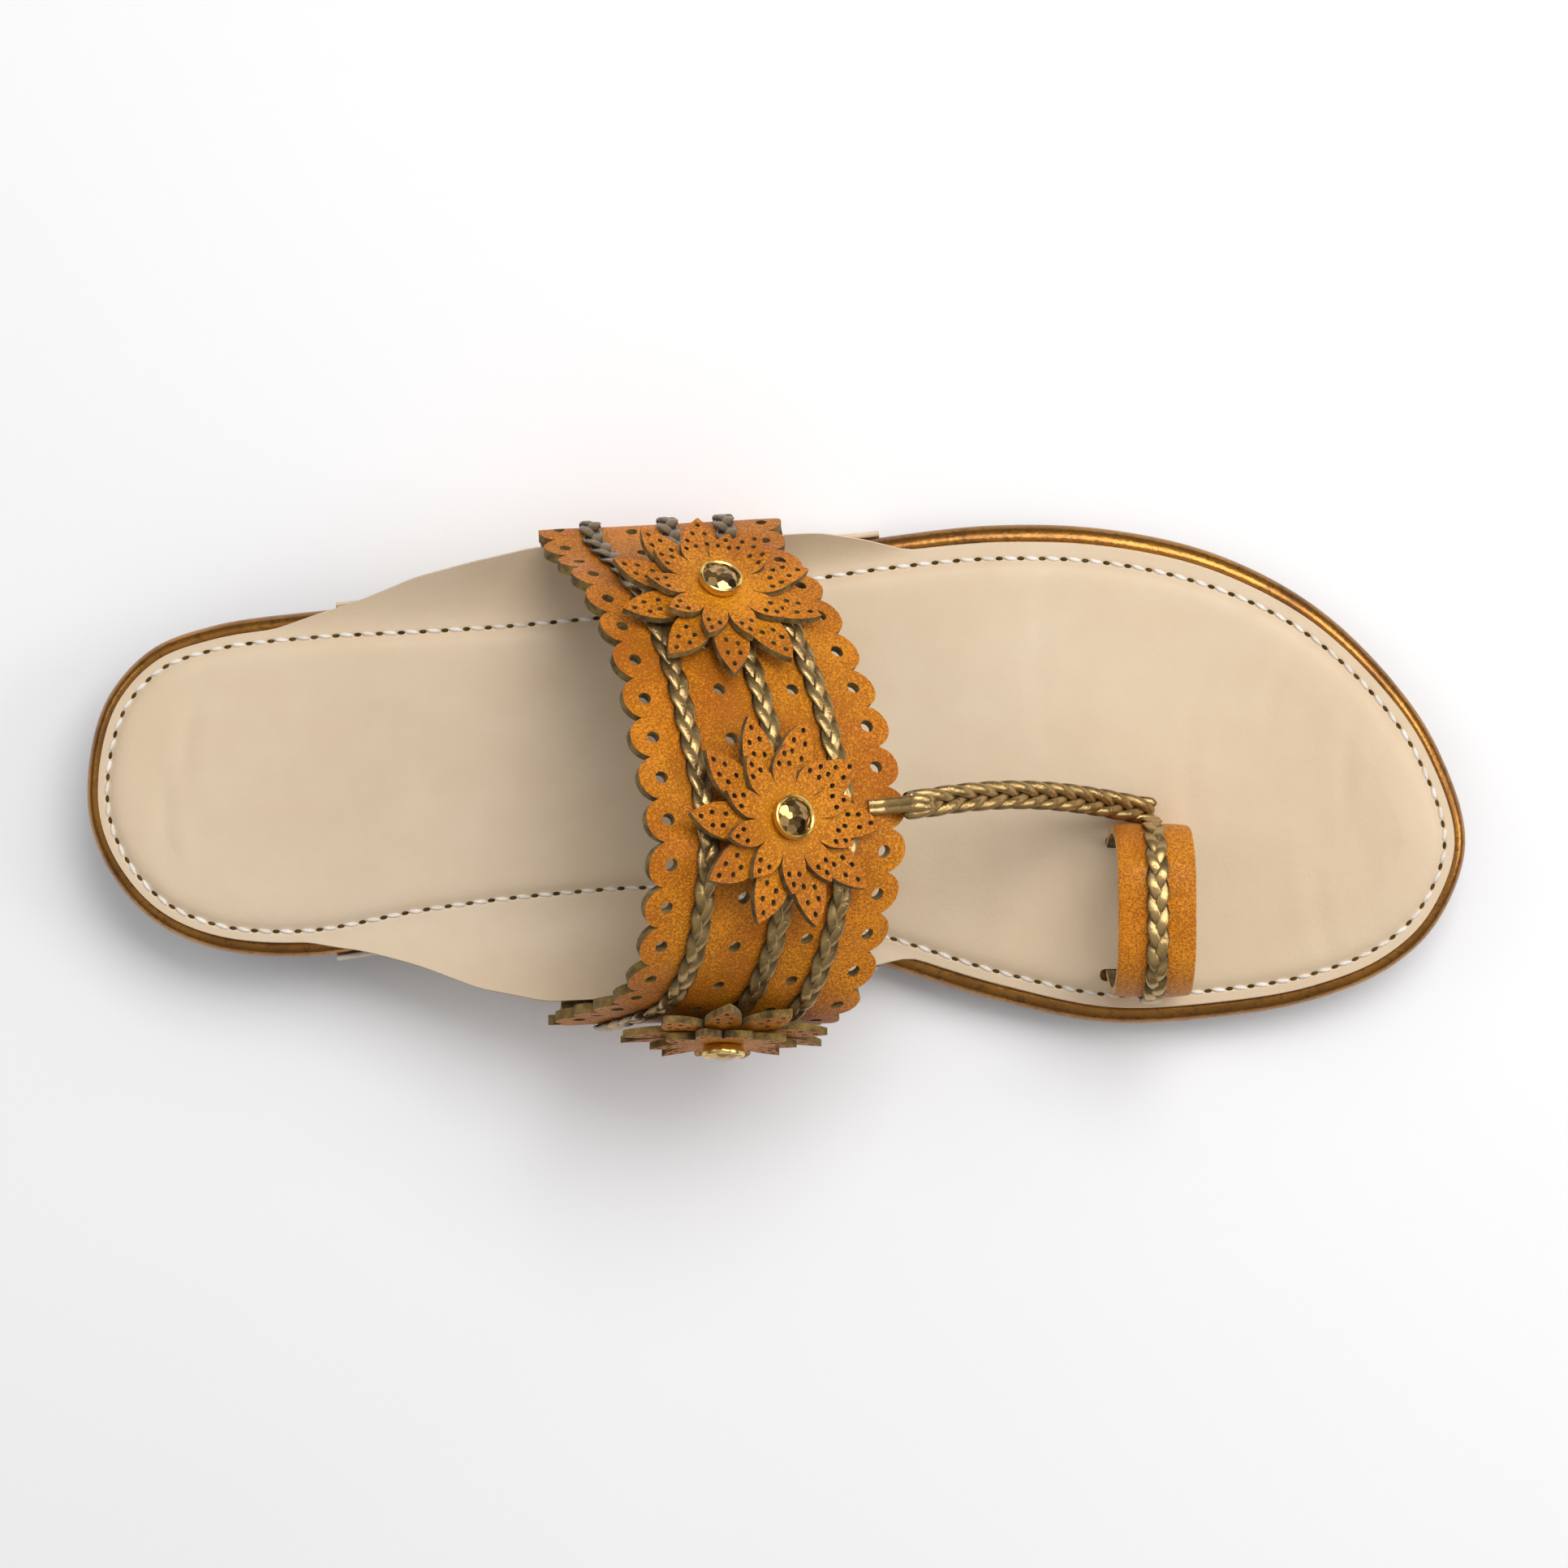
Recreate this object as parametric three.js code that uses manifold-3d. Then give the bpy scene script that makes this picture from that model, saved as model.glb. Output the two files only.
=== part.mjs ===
// A left-foot women's flat sandal of the Kolhapuri family, about a European 38.
//
// A low rubber heel and outsole carry a midsole that is wrapped in bronze leather with a
// rolled edge. On it lies the insole sheet, which spreads at the waist into two low wings.
// The upper is a wide tan band with scalloped edges and punched holes, lasted over the
// instep outside the wings. Three flat braids run along it and three leather flowers are
// riveted on it. A braided cord leads from a link at the band's front edge to a toe ring.
//
// Millimetres. +X runs towards the toe, +Y towards the outer (little toe) side, +Z up.
// The origin is on the floor under the middle of the sole.

import * as THREE from "three";
import { mergeVertices } from "three/addons/utils/BufferGeometryUtils.js";
import Module from "manifold-3d";

const wasm = await Module();
wasm.setup();

// Sole sizes
const soleLength = 250;
const ballWidth = 91;
const outsoleThickness = 4;
const outsoleSetback = 0.6; // the outsole stops this far inside the midsole's edge
const heelLift = 8;
const heelTaper = 1.6;
const heelFront = 68; // length of the heel block, from the back
const toeSpring = 4;
const midsoleThickness = 6;
const rimWidth = 3; // bronze edge left bare around the insole
const rimRoll = 2.6; // how far the rolled edge drops on its way out
const seamGap = 0.3; // between two pieces that meet
const treadDepth = 1;
const treadWidth = 2.2;
const treadPitch = 9;

// Insole and wings
const insoleThickness = 1.6;
const cushionRise = 0.9; // the padded middle stands this much above the sewn margin
const stitchInset = 2.8; // from the insole's edge to its stitch line
const outerWingFlare = 10.4;
const innerWingFlare = 17;
const wingHeight = 7.5;
const wingFacing = 1; // thickness of the wing's outer layer
const facingBelly = 0.35; // share of the wing's flare that its facing has half way up
const facingRise = 0.55; // share of the wing's height at that place
const lastingMargin = 5; // how far wings and band are tucked in under the midsole

// Band over the instep
const archWidth = 88;
const archHeight = 68;
const bandThickness = 1.8;
const scallopPitch = 7.2;
const scallopRadius = 3.8;
const punchRadius = 1;
const slotClearance = 0.35;

// Braids
const braidWidth = 3.8;
const braidThickness = 1.3;
const braidPitch = 4.9;
const cordWidth = 5;
const cordThickness = 3;
const cordPitch = 3.7;

// Flowers and their riveted stones
const flowerRadius = 18.4;
const flowerPetals = 10;
const flowerSheet = 1.1;
const upperFlowerScale = 0.67;
const outerFlowerSpacing = 41.5; // from the middle flower, along the band
const innerFlowerSpacing = 47.5;
const flowerDroop = 1.4; // how far the tips of the lower layer hang along the band
const bezelRadius = 3.8;
const bezelWall = 0.45;
const bezelHeight = 1.8;
const shankRadius = 1.1;
const stoneCrown = 0.9; // height of the stone above its bezel

// Toe ring
const ringWidth = 13.6;
const ringSpan = 31; // outside, across the toe
const ringHeight = 23.5; // above the insole
const ringThickness = 1.5;
const ringAlong = 66.4;
const ringAcross = -22.6;
const loopSheet = 0.8;
const loopTongue = 6.8; // how far its tongue lies back on the band
const loopSleeve = 3.4; // length of the sleeve around the cord's end
const cordSide = 0.4; // share of the cord's width that stands off the ring's foot
const cordPast = 1.6; // how far past the ring's middle line the cord ends
const cordBow = 1.7; // how far the cord bows to the outer side on its way
const cordRest = 0.4; // height of the cord's underside over the insole at its end

// Outline of the sole: a row for each section from heel to toe. "along" is a share of the
// sole's length, "outer" and "inner" are shares of its width at the ball.
const heelPoint = { along: 0, across: -0.031 };
const toePoint = { along: 1, across: -0.117 };
const soleSections = [
  { along: 0.012, outer: 0.156, inner: 0.153 },
  { along: 0.045, outer: 0.265, inner: 0.266 },
  { along: 0.09, outer: 0.314, inner: 0.326 },
  { along: 0.16, outer: 0.342, inner: 0.343 },
  { along: 0.25, outer: 0.36, inner: 0.303 },
  { along: 0.34, outer: 0.382, inner: 0.275 },
  { along: 0.42, outer: 0.409, inner: 0.265 },
  { along: 0.5, outer: 0.459, inner: 0.3 },
  { along: 0.58, outer: 0.498, inner: 0.368 },
  { along: 0.66, outer: 0.521, inner: 0.436 },
  { along: 0.74, outer: 0.513, inner: 0.48 },
  { along: 0.82, outer: 0.463, inner: 0.47 },
  { along: 0.89, outer: 0.362, inner: 0.435 },
  { along: 0.945, outer: 0.218, inner: 0.37 },
  { along: 0.98, outer: 0.073, inner: 0.276 },
];

// Wings of the insole: "flare" and "rise" are shares of each wing's full flare and height.
const wingSections = {
  outer: [
    { along: 0.136, flare: 0, rise: 0 },
    { along: 0.2, flare: 0.36, rise: 0.2 },
    { along: 0.24, flare: 0.68, rise: 0.5 },
    { along: 0.282, flare: 0.86, rise: 0.78 },
    { along: 0.33, flare: 1, rise: 1 },
    { along: 0.4, flare: 0.86, rise: 1 },
    { along: 0.488, flare: 0.6, rise: 0.92 },
    { along: 0.53, flare: 0.5, rise: 0.7 },
    { along: 0.562, flare: 0.27, rise: 0.34 },
    { along: 0.592, flare: 0, rise: 0 },
  ],
  inner: [
    { along: 0.164, flare: 0, rise: 0 },
    { along: 0.2, flare: 0.16, rise: 0.1 },
    { along: 0.24, flare: 0.44, rise: 0.35 },
    { along: 0.282, flare: 0.76, rise: 0.7 },
    { along: 0.33, flare: 0.97, rise: 0.95 },
    { along: 0.4, flare: 1, rise: 1 },
    { along: 0.488, flare: 0.92, rise: 0.92 },
    { along: 0.53, flare: 0.62, rise: 0.6 },
    { along: 0.562, flare: 0.27, rise: 0.22 },
    { along: 0.592, flare: 0, rise: 0 },
  ],
};

// Band over the instep, a row for each fold from the outer side over to the inner side.
// It gives the two lines of edge holes: "along" is a share of the sole's length from its
// middle, "across" a share of the arch's width and "up" a share of the arch's height.
const bandSections = [
  { rear: [-0.153, 0.474, 0.426], front: [-0.008, 0.472, 0.41] },
  { rear: [-0.142, 0.441, 0.52], front: [0.004, 0.428, 0.485] },
  { rear: [-0.125, 0.39, 0.659], front: [0.018, 0.377, 0.551] },
  { rear: [-0.108, 0.305, 0.772], front: [0.032, 0.305, 0.6] },
  { rear: [-0.094, 0.2, 0.859], front: [0.046, 0.216, 0.645] },
  { rear: [-0.085, 0.084, 0.921], front: [0.058, 0.125, 0.683] },
  { rear: [-0.076, -0.032, 0.976], front: [0.066, 0.034, 0.713] },
  { rear: [-0.072, -0.114, 1], front: [0.071, -0.052, 0.738] },
  { rear: [-0.074, -0.197, 0.985], front: [0.071, -0.136, 0.748] },
  { rear: [-0.08, -0.314, 0.915], front: [0.062, -0.264, 0.714] },
  { rear: [-0.089, -0.375, 0.84], front: [0.054, -0.341, 0.68] },
  { rear: [-0.1, -0.415, 0.747], front: [0.045, -0.405, 0.638] },
  { rear: [-0.118, -0.438, 0.64], front: [0.03, -0.455, 0.558] },
  { rear: [-0.134, -0.456, 0.537], front: [0.016, -0.472, 0.456] },
  { rear: [-0.148, -0.474, 0.426], front: [0.008, -0.47, 0.36] },
];

// Rise of the toe ring: shares of half its span and of its height above the insole
const ringSections = [
  { out: 0.82, up: 0 },
  { out: 0.94, up: 0.2 },
  { out: 1, up: 0.45 },
  { out: 0.9, up: 0.74 },
  { out: 0.56, up: 0.95 },
  { out: 0, up: 1 },
];

// Route of the cord from the band's sleeve down to the foot of the ring: shares of the way
// along, of the way across and of the drop
const cordRoute = [
  { along: 0, across: 0, drop: 0 },
  { along: 0.18, across: -0.08, drop: 0.15 },
  { along: 0.36, across: -0.02, drop: 0.33 },
  { along: 0.55, across: 0.2, drop: 0.54 },
  { along: 0.74, across: 0.55, drop: 0.76 },
  { along: 0.9, across: 0.88, drop: 0.93 },
  { along: 1, across: 1, drop: 1 },
];

const { clamp, lerp, smoothstep } = THREE.MathUtils;
const vec = (x, y, z) => new THREE.Vector3(x, y, z);
const up = vec(0, 0, 1);

// Solids

// A closed mesh as a solid with its faces pointing out.
function toSolid(points, faces) {
  const vertProperties = new Float32Array(points.flatMap((p) => [p.x, p.y, p.z]));
  const build = (triVerts) => {
    const mesh = new wasm.Mesh({ numProp: 3, vertProperties, triVerts });
    return new wasm.Manifold(mesh);
  };
  const made = build(new Uint32Array(faces));
  if (made.volume() > 0) return made;
  return build(new Uint32Array(faces).reverse());
}

function fromGeometry(geometry) {
  const bare = geometry.clone();
  bare.deleteAttribute("normal");
  bare.deleteAttribute("uv");
  const merged = mergeVertices(bare, 1e-4);
  const place = merged.getAttribute("position");
  const points = Array.from({ length: place.count }, (_, i) =>
    vec().fromBufferAttribute(place, i),
  );
  return toSolid(points, Array.from(merged.index.array));
}

function toMesh(name, solid, material) {
  const { numProp, numVert, vertProperties, triVerts } = solid.getMesh();
  const place = new Float32Array(numVert * 3);
  for (let i = 0; i < numVert; i++) {
    place.set(vertProperties.subarray(i * numProp, i * numProp + 3), i * 3);
  }
  const geometry = new THREE.BufferGeometry();
  geometry.setAttribute("position", new THREE.BufferAttribute(place, 3));
  geometry.setIndex(new THREE.BufferAttribute(triVerts, 1));
  geometry.computeVertexNormals();
  const mesh = new THREE.Mesh(geometry, material);
  mesh.name = name;
  return mesh;
}

// A closed skin over loops of equal length, bottom to top. Each loop starts at the heel,
// and its points lie in pairs across the sole, so that rungs can close the two ends.
function skinLoops(loops) {
  const count = loops[0].length;
  const faces = [];
  const quad = (a, b, c, d) => faces.push(a, b, c, a, c, d);
  for (let loop = 0; loop + 1 < loops.length; loop++) {
    for (let i = 0; i < count; i++) {
      const j = (i + 1) % count;
      const low = loop * count;
      const high = low + count;
      quad(low + i, high + i, high + j, low + j);
    }
  }
  const rung = (first, turned) => {
    for (let i = 0; i < count / 2; i++) {
      const corners = [i, i + 1, count - i - 1, (count - i) % count];
      const different = corners.filter((c, at) => corners.indexOf(c) === at);
      const ordered = (turned ? different.reverse() : different).map((c) => first + c);
      for (let k = 1; k + 1 < ordered.length; k++) {
        faces.push(ordered[0], ordered[k], ordered[k + 1]);
      }
    }
  };
  rung(0, false);
  rung((loops.length - 1) * count, true);
  return toSolid(loops.flat(), faces);
}

// A closed sheet between two faces, each given as rows of points.
function skinSheet(front, back) {
  const rows = front.length;
  const columns = front[0].length;
  const offset = rows * columns;
  const at = (row, column) => row * columns + column;
  const faces = [];
  const quad = (a, b, c, d) => faces.push(a, b, c, a, c, d);
  for (let r = 0; r + 1 < rows; r++) {
    for (let c = 0; c + 1 < columns; c++) {
      const corners = [at(r, c), at(r, c + 1), at(r + 1, c + 1), at(r + 1, c)];
      quad(...corners);
      quad(...corners.reverse().map((corner) => offset + corner));
    }
  }
  const edge = [];
  for (let c = 0; c + 1 < columns; c++) edge.push(at(0, c));
  for (let r = 0; r + 1 < rows; r++) edge.push(at(r, columns - 1));
  for (let c = columns - 1; c > 0; c--) edge.push(at(rows - 1, c));
  for (let r = rows - 1; r > 0; r--) edge.push(at(r, 0));
  edge.forEach((a, i) => {
    const b = edge[(i + 1) % edge.length];
    quad(b, a, offset + a, offset + b);
  });
  return toSolid([...front.flat(), ...back.flat()], faces);
}

// A sheet of one thickness laid along rows of middle points with their normals.
function thickSheet(rows, thickness) {
  const shifted = (share) =>
    rows.map((row) =>
      row.map(({ point, normal }) => point.clone().addScaledVector(normal, share * thickness)),
    );
  return skinSheet(shifted(0.5), shifted(-0.5));
}

// The sole

const alongToX = (along) => (along - 0.5) * soleLength;
const xToAlong = (x) => x / soleLength + 0.5;

// Height of the outsole's underside over the floor: arch behind, flat forefoot, sprung toe.
function undersideAt(along) {
  const arch = heelLift * (1 - smoothstep(along, 0.2, 0.6));
  const spring = toeSpring * clamp((along - 0.77) / 0.23, 0, 1) ** 1.8;
  return arch + spring;
}
const seamAt = (along) => undersideAt(along) + outsoleThickness;
const bedAt = (along) => seamAt(along) + midsoleThickness + 2 * seamGap;

const soleCurve = new THREE.CatmullRomCurve3(
  [
    vec(alongToX(heelPoint.along), heelPoint.across * ballWidth, 0),
    ...soleSections.map((s) => vec(alongToX(s.along), s.outer * ballWidth, 0)),
    vec(alongToX(toePoint.along), toePoint.across * ballWidth, 0),
    ...soleSections.toReversed().map((s) => vec(alongToX(s.along), -s.inner * ballWidth, 0)),
  ],
  true,
  "centripetal",
);
const loopSteps = soleCurve.points.length * 2;

// Stations round the sole's edge with their outward directions.
const soleStations = Array.from({ length: loopSteps }, (_, i) => {
  const point = soleCurve.getPoint(i / loopSteps);
  const tangent = soleCurve.getTangent(i / loopSteps);
  const outward = vec(-tangent.y, tangent.x, 0).normalize();
  const side = i <= loopSteps / 2 ? "outer" : "inner";
  return { point, outward, side, along: xToAlong(point.x) };
});

// A loop of the sole's outline moved in by an inset, at a height that follows the sole.
function soleLoop(inset, heightAt) {
  return soleStations.map(({ point, outward }) => {
    const moved = point.clone().addScaledVector(outward, -inset);
    return moved.setZ(heightAt(xToAlong(moved.x)));
  });
}

// Place on the sole's edge at one side, moved out by a margin.
function edgePoint(side, along, margin = 0) {
  const stations = soleStations.filter((station) => station.side === side);
  if (side === "inner") stations.reverse();
  const next = stations.findIndex((station) => station.along >= along);
  const [a, b] = [stations[next - 1], stations[next]];
  const share = (along - a.along) / (b.along - a.along);
  const point = a.point.clone().lerp(b.point, share);
  const outward = a.outward.clone().lerp(b.outward, share).normalize();
  return { point: point.addScaledVector(outward, margin), outward };
}

function boxSolid(width, depth, height, centre) {
  const geometry = new THREE.BoxGeometry(width, depth, height);
  geometry.translate(centre.x, centre.y, centre.z);
  return fromGeometry(geometry);
}

// Straight grooves across the tread between two places along the sole.
function treadCuts(fromX, toX) {
  const cuts = [];
  const count = Math.floor((toX - fromX) / treadPitch);
  const start = (fromX + toX - (count - 1) * treadPitch) / 2;
  for (let i = 0; i < count; i++) {
    const centre = vec(start + i * treadPitch, 0, 0);
    cuts.push(boxSolid(treadWidth, ballWidth * 2, treadDepth * 2, centre));
  }
  return wasm.Manifold.union(cuts);
}

const edgeRound = 0.8;
const flatForefoot = [0.62, 0.76]; // shares of the length where the outsole touches the floor

function makeOutsole() {
  const blank = skinLoops([
    soleLoop(outsoleSetback + edgeRound, undersideAt),
    soleLoop(outsoleSetback, (along) => undersideAt(along) + edgeRound),
    soleLoop(outsoleSetback, seamAt),
  ]);
  return blank.subtract(treadCuts(alongToX(flatForefoot[0]), alongToX(flatForefoot[1])));
}

function makeHeel() {
  const leastHeight = 1;
  const block = skinLoops([
    soleLoop(outsoleSetback + heelTaper, () => 0),
    soleLoop(outsoleSetback, (along) => Math.max(undersideAt(along) - seamGap, leastHeight)),
  ]);
  const room = boxSolid(heelFront * 2, ballWidth * 2, heelLift * 4, vec(alongToX(0), 0, 0));
  const backX = alongToX(0);
  return block.intersect(room).subtract(treadCuts(backX, backX + heelFront));
}

// Rolled edge of the midsole: shares of the rim's width moved in, and of the roll's drop
const rollSections = [
  { inset: 0, drop: 1 },
  { inset: 0.3, drop: 0.2 },
  { inset: 1, drop: 0 },
];

function makeMidsole() {
  const topAt = (along) => bedAt(along) - seamGap;
  const bottomAt = (along) => seamAt(along) + seamGap;
  return skinLoops([
    soleLoop(outsoleSetback + edgeRound, bottomAt),
    soleLoop(0, (along) => bottomAt(along) + edgeRound),
    ...rollSections.map(({ inset, drop }) =>
      soleLoop(inset * rimWidth, (along) => topAt(along) - drop * rimRoll),
    ),
  ]);
}

// Insole and wings

const wingCurve = (side, key) => {
  const rows = wingSections[side];
  const places = rows.map((row) => row.along);
  const values = rows.map((row) => row[key]);
  const curve = new THREE.CubicInterpolant(places, values, 1, [0]);
  return (along) =>
    along <= places[0] || along >= places.at(-1) ? 0 : Math.max(curve.evaluate(along)[0], 0);
};
const wingShares = {
  outer: { flare: wingCurve("outer", "flare"), rise: wingCurve("outer", "rise") },
  inner: { flare: wingCurve("inner", "flare"), rise: wingCurve("inner", "rise") },
};
const wingFlares = { outer: outerWingFlare, inner: innerWingFlare };

// How far the insole's edge is carried out and up at a place: nothing where it has no wing.
function wingReach(side, along) {
  return {
    out: wingFlares[side] * wingShares[side].flare(along),
    lift: wingHeight * wingShares[side].rise(along),
  };
}

// A loop of the insole: "share" is how far out on the wing it lies, "height" is over the bed.
function insoleLoop(inset, share, height) {
  return soleStations.map(({ point, outward, side, along }) => {
    const { out, lift } = wingReach(side, along);
    const moved = point.clone().addScaledVector(outward, share * out - inset);
    return moved.setZ(bedAt(along) + height + share ** 1.6 * lift);
  });
}

const foldRound = 0.5;
const marginSlope = 1.6;

function makeInsole() {
  const edge = rimWidth;
  return skinLoops([
    insoleLoop(edge + insoleThickness, 0, 0),
    insoleLoop(edge + foldRound, 0.5, 0),
    insoleLoop(edge, 1, 0),
    insoleLoop(edge, 1, insoleThickness),
    insoleLoop(edge + foldRound, 0.5, insoleThickness),
    insoleLoop(edge + 2 * foldRound, 0, insoleThickness),
    insoleLoop(edge + stitchInset, 0, insoleThickness),
    insoleLoop(edge + stitchInset + marginSlope, 0, insoleThickness + cushionRise),
  ]);
}

// Outer layer of a wing: from its tuck under the midsole, up to the insole wing's edge.
function makeWing(side, extra = 0) {
  const first = wingSections[side][1].along - 0.02;
  const last = wingSections[side].at(-2).along + 0.012;
  const steps = 16;
  const columns = [];
  for (let i = 0; i <= steps; i++) {
    const along = lerp(first, last, i / steps);
    const { point, outward } = edgePoint(side, along);
    const { out, lift } = wingReach(side, along);
    const climb = smoothstep(i / steps, 0, 0.16) * (1 - smoothstep(i / steps, 0.9, 1));
    const place = (move, height) =>
      point.clone().addScaledVector(outward, move).setZ(height);
    const tuckHeight = seamAt(along) + seamGap + wingFacing / 2;
    const clear = seamGap + wingFacing / 2;
    const belly = Math.max(clear, facingBelly * (out - rimWidth));
    const topOut = Math.max(clear + 0.3, out - rimWidth - wingFacing * 0.2);
    const topHeight = bedAt(along) + lift - seamGap - wingFacing * 0.85;
    const low = seamAt(along) + edgeRound + 1;
    columns.push([
      place(-lastingMargin - extra, tuckHeight),
      place(-edgeRound, tuckHeight),
      place(clear, low),
      place(lerp(clear, belly, climb), lerp(low + 1, lerp(low, topHeight, facingRise), climb)),
      place(lerp(clear, topOut, climb), lerp(low + 2, topHeight, climb)),
    ]);
  }
  const rows = withNormals(columns);
  lengthen(rows, extra);
  return thickSheet(rows, wingFacing + extra);
}

// Rows of points with the normals of the surface that they span.
function withNormals(rows) {
  const lastRow = rows.length - 1;
  const lastColumn = rows[0].length - 1;
  return rows.map((row, r) =>
    row.map((point, c) => {
      const ahead = rows[Math.min(r + 1, lastRow)][c];
      const behind = rows[Math.max(r - 1, 0)][c];
      const right = row[Math.min(c + 1, lastColumn)];
      const left = row[Math.max(c - 1, 0)];
      const alongRow = ahead.clone().sub(behind);
      const acrossRow = right.clone().sub(left);
      return { point, normal: alongRow.cross(acrossRow).normalize() };
    }),
  );
}

// The band

const bandEnd = lastingMargin + 11; // bare length of the band at each lasted end
const bandClear = seamGap + wingFacing + seamGap + bandThickness / 2;

// Points where an edge of the band passes the wing's rim, the sole's edge and its tuck.
function bandFoot(side, x) {
  const along = xToAlong(x);
  const { out, lift } = wingReach(side, along);
  const past = Math.max(out - rimWidth, 0);
  const tuckHeight = seamAt(along) - bandThickness / 2;
  const wing = edgePoint(side, along, past + bandClear).point;
  const edge = edgePoint(side, along, bandClear).point;
  const tuck = edgePoint(side, along, -lastingMargin).point;
  return [
    tuck.setZ(tuckHeight),
    edge.setZ(tuckHeight + bandThickness),
    wing.setZ(bedAt(along) + lift - wingFacing),
  ];
}

function bandLine(edge) {
  const rows = bandSections.map((section) => {
    const [along, across, rise] = section[edge];
    return vec(along * soleLength, across * archWidth, rise * archHeight);
  });
  const outerFoot = bandFoot("outer", rows[0].x);
  const innerFoot = bandFoot("inner", rows.at(-1).x);
  const places = [...outerFoot, ...rows, ...innerFoot.reverse()];
  const curve = new THREE.CatmullRomCurve3(places, false, "centripetal");
  curve.arcLengthDivisions = 600;
  return curve;
}
const rearLine = bandLine("rear");
const frontLine = bandLine("front");
const bandLength = (rearLine.getLength() + frontLine.getLength()) / 2;

// Middle of the band's wall: "round" goes from the outer tuck over to the inner tuck, and
// "over" from the rear line of holes to the front one.
function bandPoint(round, over) {
  const rear = rearLine.getPointAt(clamp(round, 0, 1));
  const front = frontLine.getPointAt(clamp(round, 0, 1));
  return rear.lerp(front, over);
}

function bandFrame(round, over) {
  const step = 0.002;
  const point = bandPoint(round, over);
  const along = bandPoint(round + step, over).sub(bandPoint(round - step, over)).normalize();
  const across = bandPoint(round, over + step).sub(bandPoint(round, over - step)).normalize();
  const normal = along.clone().cross(across).normalize();
  across.copy(normal).cross(along).normalize();
  return { point, along, across, normal };
}

const bandWidthAt = (round) => bandPoint(round, 0).distanceTo(bandPoint(round, 1));
const tipShare = 0.98; // the blank ends just inside the scallops' round tips

// Share of the way over the band for a share of its width from tip to tip.
function overFromWidth(round, share) {
  const width = bandWidthAt(round);
  return (share * (width + 2 * scallopRadius) - scallopRadius) / width;
}

// Moves the first and last row of a sheet outwards by an extra length.
function lengthen(rows, extra) {
  const steps = rows.length - 1;
  for (const [end, next] of [[0, 1], [steps, steps - 1]]) {
    rows[end].forEach(({ point }, c) => {
      const away = point.clone().sub(rows[next][c].point).normalize();
      point.addScaledVector(away, extra);
    });
  }
}

// The band as a plain sheet. Its rows stand closer where it turns in at the sole.
function bandSheet(extra = 0) {
  const steps = 30;
  const rows = [];
  for (let i = 0; i <= steps; i++) {
    const even = i / steps;
    const round = lerp(even, (1 - Math.cos(Math.PI * even)) / 2, 0.5);
    const tip = (scallopRadius * tipShare + extra) / bandWidthAt(round);
    rows.push([-tip, 0.5, 1 + tip].map((over) => bandFrame(round, over)));
  }
  lengthen(rows, extra);
  return thickSheet(rows, bandThickness + extra);
}

// Puts a shape that is drawn across the band's wall at a place on it. X runs along the
// band, Y over it towards the front, and Z out of it.
function seatOnBand(geometry, { point, along, across, normal }) {
  const basis = new THREE.Matrix4().makeBasis(along, across, normal);
  geometry.applyMatrix4(basis.setPosition(point));
  return fromGeometry(geometry);
}

// Cutter for the notch between two neighbouring scallops, with its mouth towards +Y.
function notchGeometry(pitch) {
  const steps = 2;
  const half = pitch / 2;
  const valley = Math.acos(half / scallopRadius);
  const top = 0.49 * Math.PI;
  const arc = Array.from({ length: steps + 1 }, (_, i) => {
    const angle = lerp(valley, top, i / steps);
    return [half - scallopRadius * Math.cos(angle), scallopRadius * Math.sin(angle)];
  });
  const mouth = scallopRadius * 1.4;
  const right = [...arc, [arc[steps][0], mouth]];
  const left = right.slice(1).reverse().map(([x, y]) => [-x, y]);
  const outline = [...right, ...left].map(([x, y]) => new THREE.Vector2(x, y));
  const depth = bandThickness * 4;
  const geometry = new THREE.ExtrudeGeometry(new THREE.Shape(outline), {
    depth,
    bevelEnabled: false,
  });
  return geometry.translate(0, 0, -depth / 2);
}

function punchGeometry() {
  const sides = 5;
  const depth = bandThickness * 4;
  return new THREE.CylinderGeometry(punchRadius, punchRadius, depth, sides).rotateX(Math.PI / 2);
}

// Places at one spacing along a line of the band, between its two lasted ends.
function spacedRounds(pitch, over) {
  const margin = bandEnd / bandLength;
  const length = curveLength((round) => bandPoint(round, over), margin, 1 - margin);
  const count = Math.max(Math.round(length / pitch), 2);
  const rounds = Array.from({ length: count + 1 }, (_, i) => lerp(margin, 1 - margin, i / count));
  return { rounds, spacing: length / count };
}

function curveLength(place, from, to) {
  const steps = 200;
  let length = 0;
  for (let i = 0; i < steps; i++) {
    const a = place(lerp(from, to, i / steps));
    const b = place(lerp(from, to, (i + 1) / steps));
    length += a.distanceTo(b);
  }
  return length;
}

const edgeLines = [
  { over: 0, turn: Math.PI },
  { over: 1, turn: 0 },
];

function makeUpper() {
  const cuts = [];
  for (const { over, turn } of edgeLines) {
    const { rounds, spacing } = spacedRounds(scallopPitch, over);
    rounds.forEach((round, i) => {
      cuts.push(seatOnBand(punchGeometry(), bandFrame(round, over)));
      if (i === 0) return;
      const between = (round + rounds[i - 1]) / 2;
      cuts.push(seatOnBand(notchGeometry(spacing).rotateZ(turn), bandFrame(between, over)));
    });
  }
  return bandSheet().subtract(wasm.Manifold.union(cuts));
}

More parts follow.
